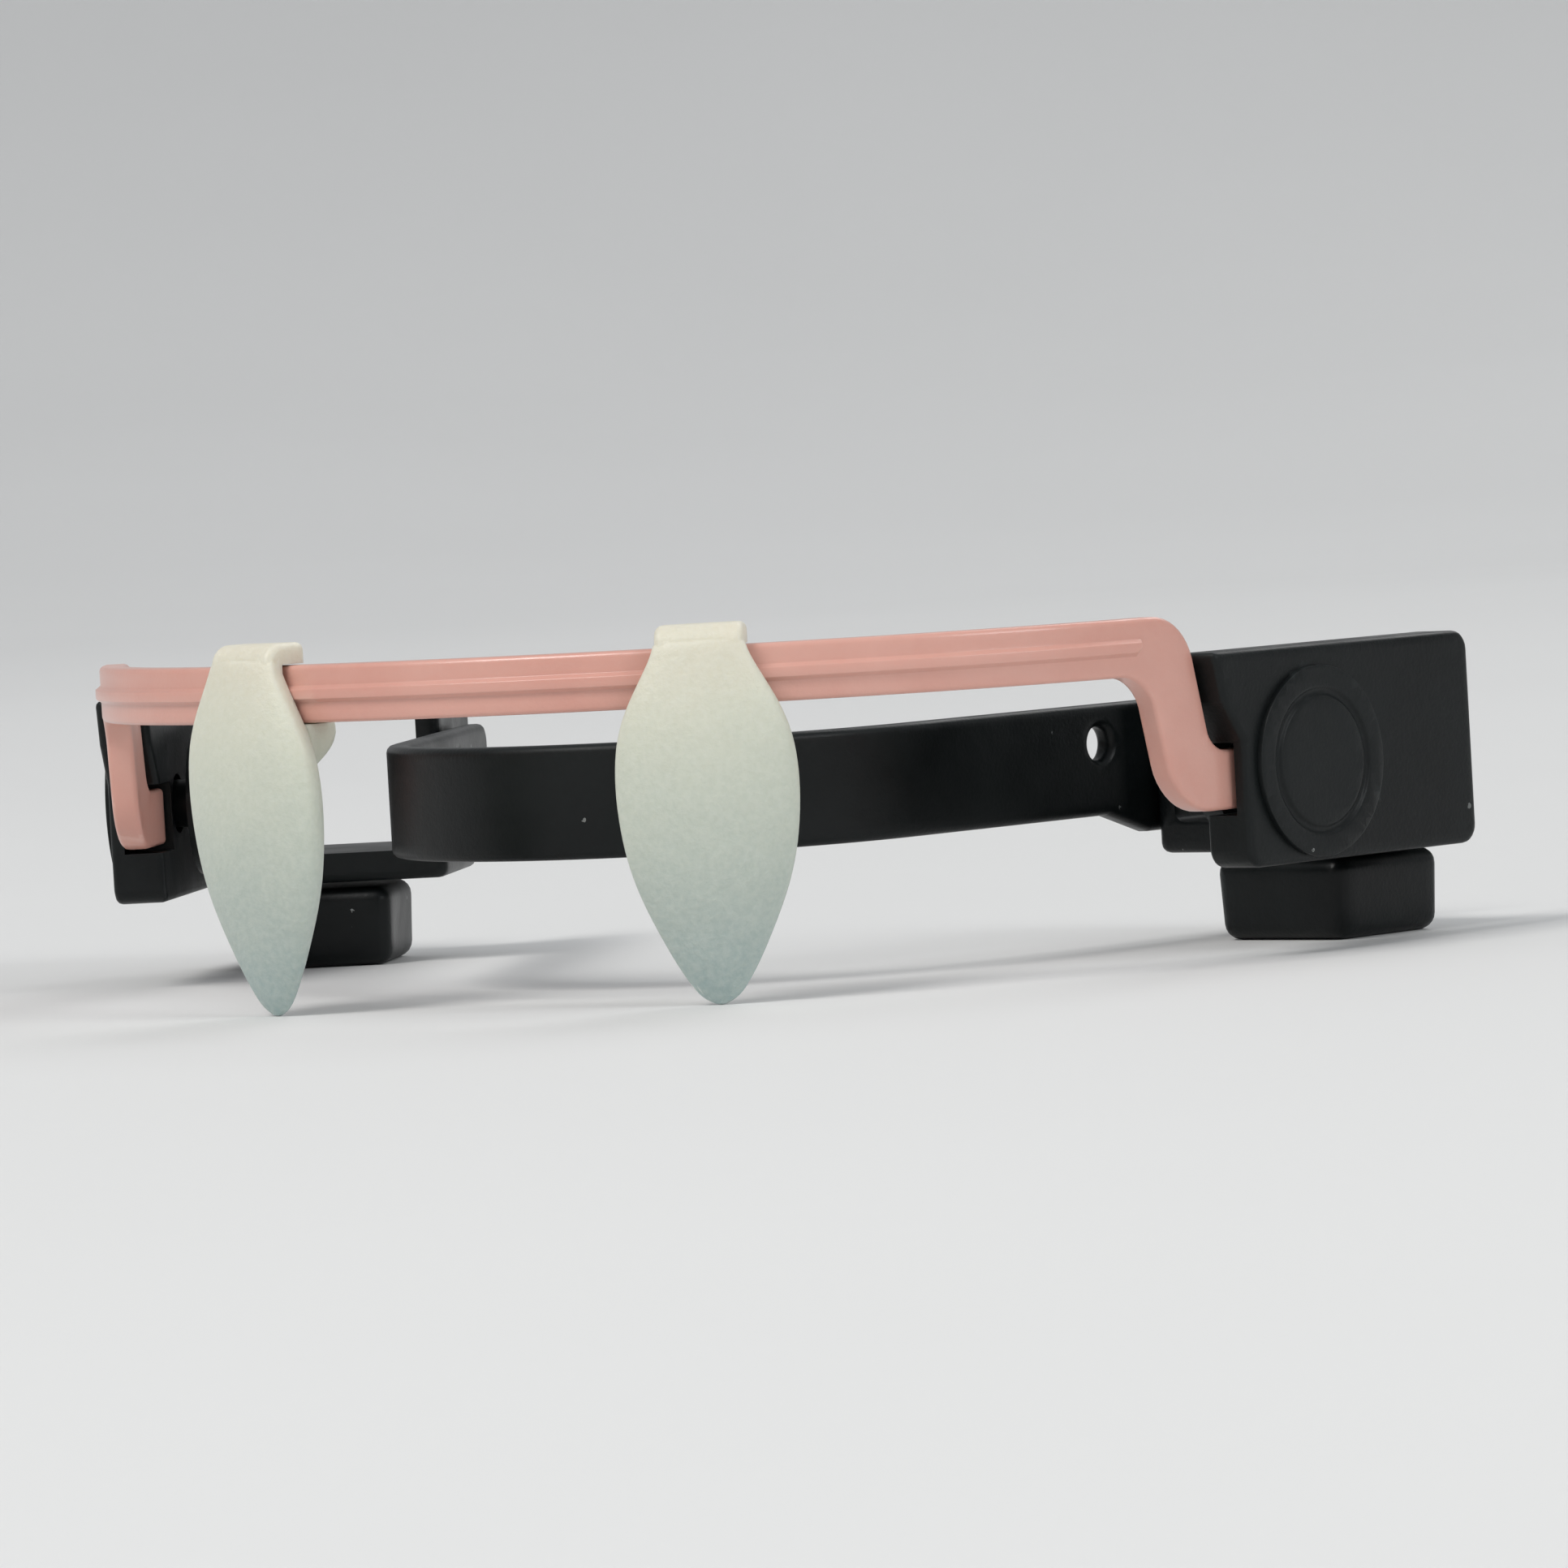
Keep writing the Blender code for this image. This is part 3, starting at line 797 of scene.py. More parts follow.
def start_material(name: str) -> tuple[Material, NodeSheet, Sockets, Socket]:
    """Start a material with a Principled shader.

    Args:
        name: The material's name.

    Returns:
        The material, its node sheet, its shader's inputs and its Object coordinates.
    """
    material = bpy.data.materials.new(name)
    material.use_nodes = True
    sheet = NodeSheet(material.node_tree)
    shader = material.node_tree.nodes["Principled BSDF"].inputs
    return material, sheet, shader, sheet.add("ShaderNodeTexCoord").outputs["Object"]


@dataclass(frozen=True)
class Finish:
    """What all finishes share: tone, edges lightened by rubbing and painted highlight, and grain on a
    Principled shader.

    Attributes:
        name: The material's name.
        clouds: Clouds of the slow drift of tone, per metre.
        pits: Pits of the grain, per metre.
        waves: Waves under the pits, per metre.
        edge_reach: How much more bulge makes an edge fully lightened.
        rub_and_highlight_share: The share of the edge colour on a fully lightened edge.
        worn: The edge colour, partly rubbing and partly painted highlight.
        gloss: Roughness where the drift or grain is least and most.
        relief: Strength and depth of the grain's bump.
        plain: Values set on the shader's own sockets.
    """

    name: str
    clouds: float
    pits: float
    waves: float
    edge_reach: float
    rub_and_highlight_share: float
    worn: Triple
    gloss: Pair
    relief: Pair
    plain: tuple[tuple[str, object], ...]

    def tone(self, sheet: NodeSheet, place: Socket, drift: Socket, grain: Socket) -> Socket:
        """Give the colour before edges are lightened by rubbing and painted highlight, from Object
        coordinates, drift and grain.
        """
        raise NotImplementedError

    def cover(self, sheet: NodeSheet, place: Socket, colour: Socket) -> Socket:
        """Give the colour with what lies on top of it, which is nothing on a clean finish."""
        return colour

    def roughness(self, sheet: NodeSheet, drift: Socket, grain: Socket, edges: Socket) -> Socket:
        """Give the roughness, from drift, grain and the mask of rubbed, highlit edges."""
        return sheet.spread(drift, (0.0, 1.0), self.gloss)

    def make(self) -> Material:
        """Make the material.

        Returns:
            The material.
        """
        material, sheet, shader, place = start_material(self.name)
        drift = sheet.effect(Effects.drift(), place, Clouds_per_metre=self.clouds)["Mask"]
        grain = sheet.effect(Effects.grain(), place, Pits_per_metre=self.pits, Wave_per_metre=self.waves)
        edges = sheet.effect(Effects.worn_edges(), place, Reach=self.edge_reach)["Mask"]
        tone = self.tone(sheet, place, drift, grain["Mask"])
        # Lighten convex edges with the edge colour: partly rubbing, partly painted highlight.
        worn = sheet.mix(sheet.math("MULTIPLY", edges, self.rub_and_highlight_share), tone, self.worn)
        sheet.feed(shader["Base Color"], self.cover(sheet, place, worn))
        sheet.feed(shader["Roughness"], self.roughness(sheet, drift, grain["Mask"], edges))
        for label, value in self.plain:
            shader[label].default_value = value
        bump = sheet.add("ShaderNodeBump", {
            "Height": grain["Height"], "Strength": self.relief[0], "Distance": self.relief[1]})
        sheet.feed(shader["Normal"], bump.outputs["Normal"])
        return material


@dataclass(frozen=True)
class SalmonAcrylic(Finish):
    """Glossy pink denture acrylic, a little milky, with a slow drift of tone."""

    name: str = "salmon_denture_acrylic"
    clouds: float = 160.0
    pits: float = 4200.0
    waves: float = 520.0
    edge_reach: float = 0.09
    # Lighter pink on convex edges: partly rubbing, partly a painted highlight along the bar's edges.
    rub_and_highlight_share: float = 0.45
    worn: Triple = (0.80, 0.52, 0.45)
    gloss: Pair = (0.28, 0.38)
    relief: Pair = (0.12, 0.00012)
    plain: tuple[tuple[str, object], ...] = (
        ("Subsurface Weight", 0.12), ("Subsurface Radius", (1.0, 0.45, 0.35)),
        ("Subsurface Scale", 0.0006), ("Coat Weight", 0.35), ("Coat Roughness", 0.12))
    deep: Triple = (0.660, 0.325, 0.262)
    pale: Triple = (0.715, 0.390, 0.322)
    fleck: float = 0.10

    def tone(self, sheet: NodeSheet, place: Socket, drift: Socket, grain: Socket) -> Socket:
        """Give the colour: deep to pale pink with pale flecks."""
        tone = sheet.mix(drift, self.deep, self.pale)
        return sheet.mix(sheet.math("MULTIPLY", grain, self.fleck), tone, self.pale)


@dataclass(frozen=True)
class IvoryPlastic(Finish):
    """Milky tooth plastic: warm at the gum, cool and darker at the tip, the darkening partly painted shade,
    with a fine satin grain.
    """

    name: str = "milky_tooth_plastic"
    clouds: float = 230.0
    pits: float = 3400.0
    waves: float = 700.0
    edge_reach: float = 0.10
    # Pale edge colour: partly rubbing, partly a painted highlight where the fang's rims catch the light.
    rub_and_highlight_share: float = 0.4
    worn: Triple = (0.88, 0.88, 0.82)
    gloss: Pair = (0.40, 0.56)
    relief: Pair = (0.30, 0.00016)
    plain: tuple[tuple[str, object], ...] = (
        ("Subsurface Weight", 0.35), ("Subsurface Radius", (1.0, 0.9, 0.75)), ("Subsurface Scale", 0.0012))
    top_z: float = 0.0174
    # Tip-to-gum stops: the cool-to-warm tint is the plastic's own; the darkening towards the tip is partly
    # painted shade.
    stops: tuple[tuple[float, Triple], ...] = (
        (0.02, (0.33, 0.425, 0.42)), (0.22, (0.43, 0.50, 0.465)), (0.52, (0.57, 0.615, 0.53)),
        (0.78, (0.68, 0.69, 0.575)), (0.97, (0.735, 0.69, 0.565)))
    sway: float = 0.035
    milk: Triple = (0.84, 0.84, 0.76)
    fleck: float = 0.16

    def tone(self, sheet: NodeSheet, place: Socket, drift: Socket, grain: Socket) -> Socket:
        """Give the colour, from tip to gum by height with a sway, darker towards the tip partly as painted
        shade, and milky flecks.

        Args:
            sheet: The material's node sheet.
            place: Its Object coordinates.
            drift: The mask of the slow drift.
            grain: The mask of the grain.

        Returns:
            The colour before edges are lightened.
        """
        height = sheet.add("ShaderNodeSeparateXYZ", {"Vector": place}).outputs["Z"]
        share = sheet.spread(height, (0.0, self.top_z), (0.0, 1.0))
        sway = sheet.spread(drift, (0.0, 1.0), (-self.sway, self.sway))
        # Height ramp: the plastic's tint plus painted shade on the lower fang.
        tone = sheet.ramp(sheet.math("ADD", share, sway), self.stops)
        return sheet.mix(sheet.math("MULTIPLY", grain, self.fleck), tone, self.milk)

    def roughness(self, sheet: NodeSheet, drift: Socket, grain: Socket, edges: Socket) -> Socket:
        """Give the roughness, which follows the grain."""
        return sheet.spread(grain, (0.0, 1.0), self.gloss)


@dataclass(frozen=True)
class BlackPlastic(Finish):
    """Black moulded plastic with a satin face, faint dust, and edges lightened partly by rubbing and partly
    by painted highlight.
    """

    name: str = "black_moulded_plastic"
    clouds: float = 140.0
    pits: float = 5200.0
    waves: float = 480.0
    edge_reach: float = 0.10
    # Grey-black edge colour: partly rubbing, partly a painted highlight along the edges.
    rub_and_highlight_share: float = 0.32
    worn: Triple = (0.048, 0.057, 0.057)
    gloss: Pair = (0.30, 0.46)
    relief: Pair = (0.16, 0.00010)
    plain: tuple[tuple[str, object], ...] = (("Specular IOR Level", 0.22),)
    deep: Triple = (0.0032, 0.0044, 0.0048)
    faded: Triple = (0.0075, 0.0097, 0.0100)
    dust: Triple = (0.42, 0.44, 0.43)
    dust_share: float = 0.55
    worn_roughness: float = 0.12

    def tone(self, sheet: NodeSheet, place: Socket, drift: Socket, grain: Socket) -> Socket:
        """Give the colour, from deep to faded black."""
        return sheet.mix(drift, self.deep, self.faded)

    def cover(self, sheet: NodeSheet, place: Socket, colour: Socket) -> Socket:
        """Give the colour with dust specks on it."""
        specks = sheet.effect(Effects.specks(), place, Cells_per_metre=820.0, Size=0.11, Share=0.10)["Mask"]
        return sheet.mix(sheet.math("MULTIPLY", specks, self.dust_share), colour, self.dust)

    def roughness(self, sheet: NodeSheet, drift: Socket, grain: Socket, edges: Socket) -> Socket:
        """Give the roughness, satin and a little duller on the lightened edges."""
        satin = sheet.spread(drift, (0.0, 1.0), self.gloss)
        return sheet.math("ADD", satin, sheet.math("MULTIPLY", edges, self.worn_roughness))


def mount(piece: Piece, node: str, body: Body, material: Material) -> None:
    """Dress a finished piece and let it stand for its node.

    Args:
        piece: The finished piece.
        node: The CAD node that it replaces.
        body: The body that it rides on.
        material: Its finish.
    """
    piece.data.materials.clear()
    piece.data.materials.append(material)
    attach(piece, body.value)
    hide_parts(node)
    LOG.info("%s stands for %s, %d faces", piece.name, node, len(piece.data.polygons))


def mount_pair(
    right: Piece, node: str, body: Body, material: Material, angle: float = 35.0,
) -> None:
    """Copy a right piece to the left, then close up and mount both.

    Args:
        right: The right piece.
        node: The CAD nodes' name without their side.
        body: The body that both ride on.
        material: Their finish.
        angle: Edges sharper than this many degrees stay sharp.
    """
    left = Bench.mirror_copy(right)
    for piece, side in ((right, Side.RIGHT), (left, Side.LEFT)):
        Bench.close_up(piece, angle)
        mount(piece, node + "_" + side.word, body, material)


@dataclass
class FrontBar:
    """The arched bar: band, rib, cranked legs and straps, bent from one flat blank."""

    sizes: BarSizes = BAR
    fine_edge: float = 0.00007
    rib_slope: Pair = (0.995, 0.55)
    corner_steps: int = 9
    cell: float = 0.00055

    def blank(self) -> Piece:
        """Model the right half of the flat blank by extrusion.

        Returns:
            The half, open at the denture's middle.
        """
        s = self.sizes
        armpit = s.leg_back(s.bottom_z) - s.leg_width
        lean = math.tan(s.leg_lean)
        drop = s.bottom_z - s.strap_top_z
        end = s.arch().run() + s.strap_end_run
        bar = Bench.add_box("arched_bar", (0.0, 0.0, s.bottom_z), (armpit, s.thickness, s.top_z))
        with Bench.editing(bar):
            Bench.open_middle(bar)
            Bench.pick_faces(bar, "+x")
            Bench.extrude((s.leg_back(s.top_z) - armpit, 0.0, 0.0))
            Bench.pick_verts(bar, lambda place: place.x > armpit + TINY and place.z < s.middle_z)
            bpy.ops.transform.translate(value=(lean * s.height, 0.0, 0.0))
            Bench.pick_faces(bar, "-z", lambda middle: middle.x > armpit + TINY)
            Bench.extrude((lean * drop, 0.0, -drop))
            Bench.extrude((lean * s.strap_height, 0.0, -s.strap_height))
            Bench.pick_faces(bar, "+x", lambda middle: s.strap_bottom_z < middle.z < s.strap_top_z)
            Bench.extrude((PAST, 0.0, 0.0))
            Bench.pick_verts(bar, lambda place: place.x > s.leg_back(s.strap_bottom_z) + TINY)
            bpy.ops.transform.resize(value=(0.0, 1.0, 1.0), center_override=(end, 0.0, 0.0))
        return bar

    def round_profile(self, bar: Piece) -> None:
        """Round the corners of the crank in the flat blank.

        Args:
            bar: The right half of the blank.
        """
        s = self.sizes
        slack = math.tan((math.pi / 2.0 - s.leg_lean) / 2.0)
        corners = (
            (s.leg_back(s.top_z), s.top_z, s.shoulder),
            (s.leg_back(s.bottom_z) - s.leg_width, s.bottom_z, s.armpit),
            (s.leg_back(s.strap_top_z), s.strap_top_z, s.instep),
            (s.leg_back(s.strap_bottom_z) - s.leg_width, s.strap_bottom_z, s.heel),
        )
        with Bench.editing(bar):
            for run, height, radius in corners:
                Bench.round_corners(
                    bar, "y", lambda middle: math.hypot(middle.x - run, middle.z - height) < 5.0 * TINY,
                    radius * slack, self.corner_steps)

    def raise_rib(self, bar: Piece) -> None:
        """Raise the rib along the middle of the band's outer face.

        Args:
            bar: The whole flat blank.
        """
        s = self.sizes
        end = s.leg_back(s.middle_z) - s.leg_width
        half = s.rib_width / 2.0
        cuts = [((0.0, 0.0, height), (0.0, 0.0, 1.0)) for height in (s.middle_z - half, s.middle_z + half)]
        cuts += [((run, 0.0, 0.0), (1.0, 0.0, 0.0)) for run in (-end, end)]
        with Bench.editing(bar):
            for place, across in cuts:
                Bench.pick_faces(bar, "-y", lambda middle: middle.z > s.bottom_z, FLATTEST)
                bpy.ops.mesh.bisect(plane_co=place, plane_no=across)
            Bench.pick_faces(
                bar, "-y", lambda middle: abs(middle.x) < end and abs(middle.z - s.middle_z) < half, FLATTEST)
            Bench.extrude((0.0, -s.rib_height, 0.0))
            bpy.ops.transform.resize(
                value=(self.rib_slope[0], 1.0, self.rib_slope[1]),
                center_override=(0.0, -s.rib_height, s.middle_z))

    def build(self, material: Material) -> None:
        """Build, bend and dress the bar.

        Args:
            material: Its finish.
        """
        s = self.sizes
        bar = self.blank()
        self.round_profile(bar)
        Bench.join_halves(bar)
        Bench.soften(bar, s.edge, 3, 60.0)
        self.raise_rib(bar)
        Bench.soften(bar, self.fine_edge, 2, 30.0)
        Bench.slice_up(bar, (self.cell, 0.0, self.cell))
        s.arch().bend(bar, s.arch().run() + s.strap_end_run + PAST)
        Bench.close_up(bar, 40.0)
        mount(bar, "front_bar", Body.CARRIER, material)


@dataclass(frozen=True)
class FangRow:
    """One level of a fang, as shares of its named sizes.

    Attributes:
        height: Share of the fang's height.
        half_width: Share of its half width.
        crown: Share of its swell in front of its edge.
        back: Share of its swell behind its edge.
        lift: Share of the edge's own place by which the edge moves out, beside the bar.
    """

    height: float
    half_width: float
    crown: float
    back: float
    lift: float = 0.0


@dataclass
class Fang:
    """One fang: a lofted leaf with a hook over the bar and a clip lip under it."""

    run: float = 0.0117
    hook_rise: float = 0.00075
    hook_half_width: float = 0.00205
    hook_front: float = 0.00115
    hook_brow: float = 0.0010
    hook_edge: float = 0.00036
    snug: float = 0.00006
    half_width: float = 0.00427
    edge_out: float = 0.00075
    crown: float = 0.0014
    back: float = 0.0019
    curve: float = 0.0008
    lip_bottom_z: float = 0.0114
    lip_swell_z: float = 0.0126
    lip_rise: float = 0.00025
    lip_half_width: float = 0.0032
    lip_taper: float = 0.8
    lip_thickness: float = 0.0005
    lip_edge: float = 0.0005
    fine_edge: float = 0.00006
    sides: int = 32
    cell: float = 0.0007
    rows: tuple[FangRow, ...] = (
        FangRow(0.000, 0.030, 0.04, 0.03),
        FangRow(0.010, 0.130, 0.13, 0.10),
        FangRow(0.030, 0.240, 0.23, 0.19),
        FangRow(0.070, 0.350, 0.34, 0.29),
        FangRow(0.125, 0.480, 0.47, 0.42),
        FangRow(0.190, 0.610, 0.59, 0.54),
        FangRow(0.265, 0.750, 0.73, 0.69),
        FangRow(0.345, 0.870, 0.85, 0.81),
        FangRow(0.440, 0.955, 0.94, 0.92),
        FangRow(0.560, 1.000, 1.00, 1.00, 0.02),
        FangRow(0.660, 0.980, 0.99, 1.00, 0.08),
        FangRow(0.730, 0.920, 0.94, 0.97, 0.20),
        FangRow(0.790, 0.820, 0.84, 0.90, 0.30),
        FangRow(0.840, 0.710, 0.72, 0.85, 0.34),
        FangRow(0.890, 0.595, 0.60, 0.80, 0.34),
        FangRow(0.926, 0.520, 0.50, 0.75, 0.30),
        FangRow(0.950, 0.500, 0.42, 0.70, 0.20),
        FangRow(0.964, 0.440, 0.30, 0.50),
    )

    @property
    def height(self) -> float:
        """Give the height of the fang, from its tip to the top of its hook."""
        return BAR.top_z + CLEARANCE + self.hook_rise

    def edge_at(self, row: FangRow) -> float:
        """Give how far out the fang's edge lies at a row."""
        return self.edge_out * (1.0 + row.lift) - self.curve * (1.0 - row.height) ** 2

    def crown_at(self, row: FangRow) -> float:
        """Give the swell in front of the edge at a row."""
        return self.crown * row.crown - self.edge_out * row.lift

    def back_at(self, row: FangRow) -> float:
        """Give the swell behind the edge at a row."""
        return self.back * row.back + self.edge_out * row.lift

    def loft(self) -> Piece:
        """Draw the leaf up from its tip, ring by ring.

        Returns:
            The leaf, upright at the origin.
        """
        first = self.rows[0]
        width = self.half_width * first.half_width
        bpy.ops.object.select_all(action="DESELECT")
        bpy.ops.mesh.primitive_circle_add(
            vertices=self.sides, radius=width, fill_type="NGON",
            location=(0.0, -self.edge_at(first), 0.0), rotation=(0.0, 0.0, math.pi / self.sides))
        fang = Bench.name_new("fang_crown_right")
        with Bench.editing(fang):
            bpy.ops.mesh.select_mode(type="FACE")
            bpy.ops.mesh.select_all(action="SELECT")
            edge, height, crown, back = self.edge_at(first), 0.0, width, width
            for row in self.rows[1:]:
                level = self.height * row.height
                Bench.extrude((0.0, edge - self.edge_at(row), level - height))
                edge, height = self.edge_at(row), level
                centre = (0.0, -edge, level)
                widen = self.half_width * row.half_width / width
                width = self.half_width * row.half_width
                bpy.ops.transform.resize(value=(widen, 1.0, 1.0), center_override=centre)
                swells = ((True, self.crown_at(row) / crown), (False, self.back_at(row) / back))
                crown, back = self.crown_at(row), self.back_at(row)
                for front, swell in swells:
                    Bench.pick_verts(
                        fang, lambda place: abs(place.z - level) < TINY and (place.y < -edge) == front)
                    bpy.ops.transform.resize(value=(1.0, swell, 1.0), center_override=centre)
                Bench.pick(fang, Kind.FACE, lambda middle, _: abs(middle.z - level) < TINY)
            Bench.face_outwards()
        Bench.use(fang, "SUBSURF", levels=2, render_levels=2)
        return fang

    def clip_lip(self) -> Piece:
        """Model the lip that swells out under the bar and hooks behind it.

        Returns:
            The lip, in the fang's frame.
        """
        back = BAR.thickness + CLEARANCE + self.lip_thickness
        low_z = self.lip_bottom_z
        lip = Bench.add_box(
            "clip_lip", (-self.lip_half_width, 0.0, low_z),
            (self.lip_half_width, back, BAR.bottom_z + self.lip_rise))
        with Bench.editing(lip):
            bpy.ops.mesh.select_all(action="SELECT")
            bpy.ops.mesh.bisect(plane_co=(0.0, 0.0, self.lip_swell_z), plane_no=(0.0, 0.0, 1.0))
            Bench.pick_verts(lip, lambda place: place.z < low_z + TINY and place.y > back - TINY)
            bpy.ops.transform.translate(value=(0.0, -back / 2.0, 0.0))
            Bench.pick_verts(lip, lambda place: place.z < low_z + TINY)
            bpy.ops.transform.resize(value=(self.lip_taper, 1.0, 1.0), center_override=(0.0, 0.0, low_z))
        Bench.soften(lip, self.lip_edge, 5, 20.0)
        return lip

    def top_hook(self) -> Piece:
        """Model the hook that reaches back over the top of the bar.

        Returns:
            The hook, in the fang's frame.
        """
        hook = Bench.add_box(
            "top_hook", (-self.hook_half_width, -self.hook_front, BAR.middle_z),
            (self.hook_half_width, BAR.thickness, self.height))
        with Bench.editing(hook):
            Bench.round_corners(
                hook, "x", lambda middle: middle.y < 0.0 and middle.z > self.height - TINY,
                self.hook_brow, 8)
        Bench.soften(hook, self.hook_edge, 5)
        return hook

    def channel(self) -> Piece:
        """Model the space that the bar takes, bent like the bar, with a snug fit.

        Returns:
            The cutter, in the part's frame.
        """
        half = self.half_width + PAST
        cutter = Bench.add_box(
            "bar_channel", (self.run - half, -BAR.rib_height - self.snug, BAR.bottom_z - self.snug),
            (self.run + half, BAR.thickness + self.snug, BAR.top_z + self.snug))
        Bench.slice_up(cutter, (self.cell, 0.0, 0.0))
        BAR.arch().bend(cutter, self.run + half + PAST)
        return cutter

    def build(self, material: Material) -> None:
        """Build the right fang and mount it with its twin.

        Args:
            material: Their finish.
        """
        fang = self.loft()
        Bench.combine(fang, self.clip_lip(), "UNION")
        Bench.combine(fang, self.top_hook(), "UNION")
        Bench.place(fang, BAR.arch().frame_at(self.run))
        Bench.combine(fang, self.channel(), "DIFFERENCE")
        Bench.soften(fang, self.fine_edge, 2, 50.0)
        mount_pair(fang, "fang", Body.CARRIER, material, 38.0)


@dataclass
class Lever:
    """One lever plate with its brow, round boss, strap groove and pin hole."""

    sizes: LeverSizes = LEVER
    corner_steps: int = 6
    cell: float = 0.0006

    def plate(self) -> Piece:
        """Model the plate from a box, with the brow drawn forward over the strap.

        Returns:
            The plate, in the side's frame.
        """
        s = self.sizes
        step_z = BAR.strap_top_z + CLEARANCE
        brow_top, brow_low = [
            BAR.leg_back(height) - BAR.arch().run() + CLEARANCE for height in (s.top_z, s.brow_z)]
        plate = Bench.add_box(
            "lever_plate_right", (s.inner, s.front_run, s.bottom_z), (s.proud, s.end_run, s.top_z))
        with Bench.editing(plate):
            bpy.ops.mesh.select_all(action="SELECT")
            bpy.ops.mesh.bisect(plane_co=(0.0, 0.0, step_z), plane_no=(0.0, 0.0, 1.0))
            Bench.pick_faces(plate, "-y", lambda middle: middle.z > step_z)
            Bench.extrude((0.0, brow_top - s.front_run, 0.0))
            Bench.pick_verts(
                plate, lambda place: place.y < s.front_run - TINY and place.z < step_z + TINY)
            bpy.ops.transform.translate(value=(0.0, brow_low - brow_top, s.brow_z - step_z))
            Bench.round_corners(
                plate, "x", lambda middle: middle.y > s.end_run - TINY, s.corner, self.corner_steps)
            Bench.round_corners(
                plate, "x",
                lambda middle: middle.z < s.bottom_z + TINY and middle.y < s.front_run + TINY,
                s.corner, self.corner_steps)
        Bench.soften(plate, s.edge, 3)
        return plate

    def boss(self) -> Piece:
        """Model the round boss with a shallow ring round a low button.

        Returns:
            The boss, in the side's frame.
        """
        s = self.sizes
        start = Vector((s.proud - s.boss_height, s.pivot_run, s.pivot_z))
        end = start + Vector((2.0 * s.boss_height, 0.0, 0.0))
        boss = Bench.add_rod("boss", start, end, s.boss_radius, 96)
        insets = (
            (s.rim_width, 0.0), (s.ring_wall, -s.ring_wall), (s.ring_width, 0.0), (s.ring_wall, s.ring_wall))
        with Bench.editing(boss):
            Bench.pick_faces(boss, "+x")
            for width, depth in insets:
                bpy.ops.mesh.inset(thickness=width, depth=depth)
        Bench.soften(boss, s.boss_edge, 2)
        return boss

    def build(self, material: Material) -> None:
        """Build the right lever and mount it with its twin.

        Args:
            material: Their finish.
        """
        s = self.sizes
        lever = self.plate()
        Bench.combine(lever, self.boss(), "UNION")
        groove = Bench.add_box(
            "strap_groove", (s.inner - PAST, s.front_run - PAST, BAR.strap_bottom_z - CLEARANCE),
            (CLEARANCE, BAR.strap_end_run + CLEARANCE, BAR.strap_top_z + CLEARANCE))
        Bench.combine(lever, groove, "DIFFERENCE")
        Bench.combine(lever, HingePin().hole(), "DIFFERENCE")
        Bench.soften(lever, s.groove_edge, 2, 60.0)
        Bench.slice_up(lever, (0.0, self.cell, self.cell))
        Bench.place(lever, BAR.side_frame(Side.RIGHT))
        mount_pair(lever, "lever", Body.CARRIER, material)


@dataclass
class HingePin:
    """One hinge pin, a rod with turned ends, and the hole that it runs in."""

    sizes: LeverSizes = LEVER
    sides: int = 64

    def ends(self) -> tuple[Vector, Vector]:
        """Give the pin's inner and outer ends on the right side.

        Returns:
            Both ends, in the part's frame.
        """
        s = self.sizes
        pivot = s.pivot(Side.RIGHT)
        across = ((s.proud + s.inner) / 2.0 - TRAY.outer + TRAY.wall) / math.sin(BAR.lever_heading)
        inner = pivot - Vector((across + CLEARANCE, 0.0, 0.0))
        return inner, pivot + Vector((s.pin_tail, 0.0, 0.0))

    def hole(self) -> Piece:
        """Model the hole, blind in the lever and open through the ear.

        Returns:
            The cutter, in the side's frame.
        """
        inner, outer = self.ends()
        start = inner - Vector((PAST, 0.0, 0.0))
        end = outer + Vector((CLEARANCE, 0.0, 0.0))
        hole = Bench.add_rod("pin_hole", start, end, self.sizes.pin_radius + CLEARANCE, self.sides)
        Bench.place(hole, BAR.side_frame(Side.RIGHT).inverted())
        return hole

    def build(self, material: Material) -> None:
        """Build the right pin and mount it with its twin.

        Args:
            material: Their finish.
        """
        s = self.sizes
        inner, outer = self.ends()
        pin = Bench.add_rod("hinge_pin_turned_right", inner, outer, s.pin_radius, self.sides)
        with Bench.editing(pin):
            Bench.pick_faces(pin, "-x")
            bpy.ops.mesh.inset(thickness=s.pin_rim, depth=0.0)
            bpy.ops.mesh.inset(thickness=s.pin_dimple[0], depth=-s.pin_dimple[1])
        Bench.soften(pin, s.pin_edge, 3)
        mount_pair(pin, "hinge_pin", Body.MOUTHPIECE, material)


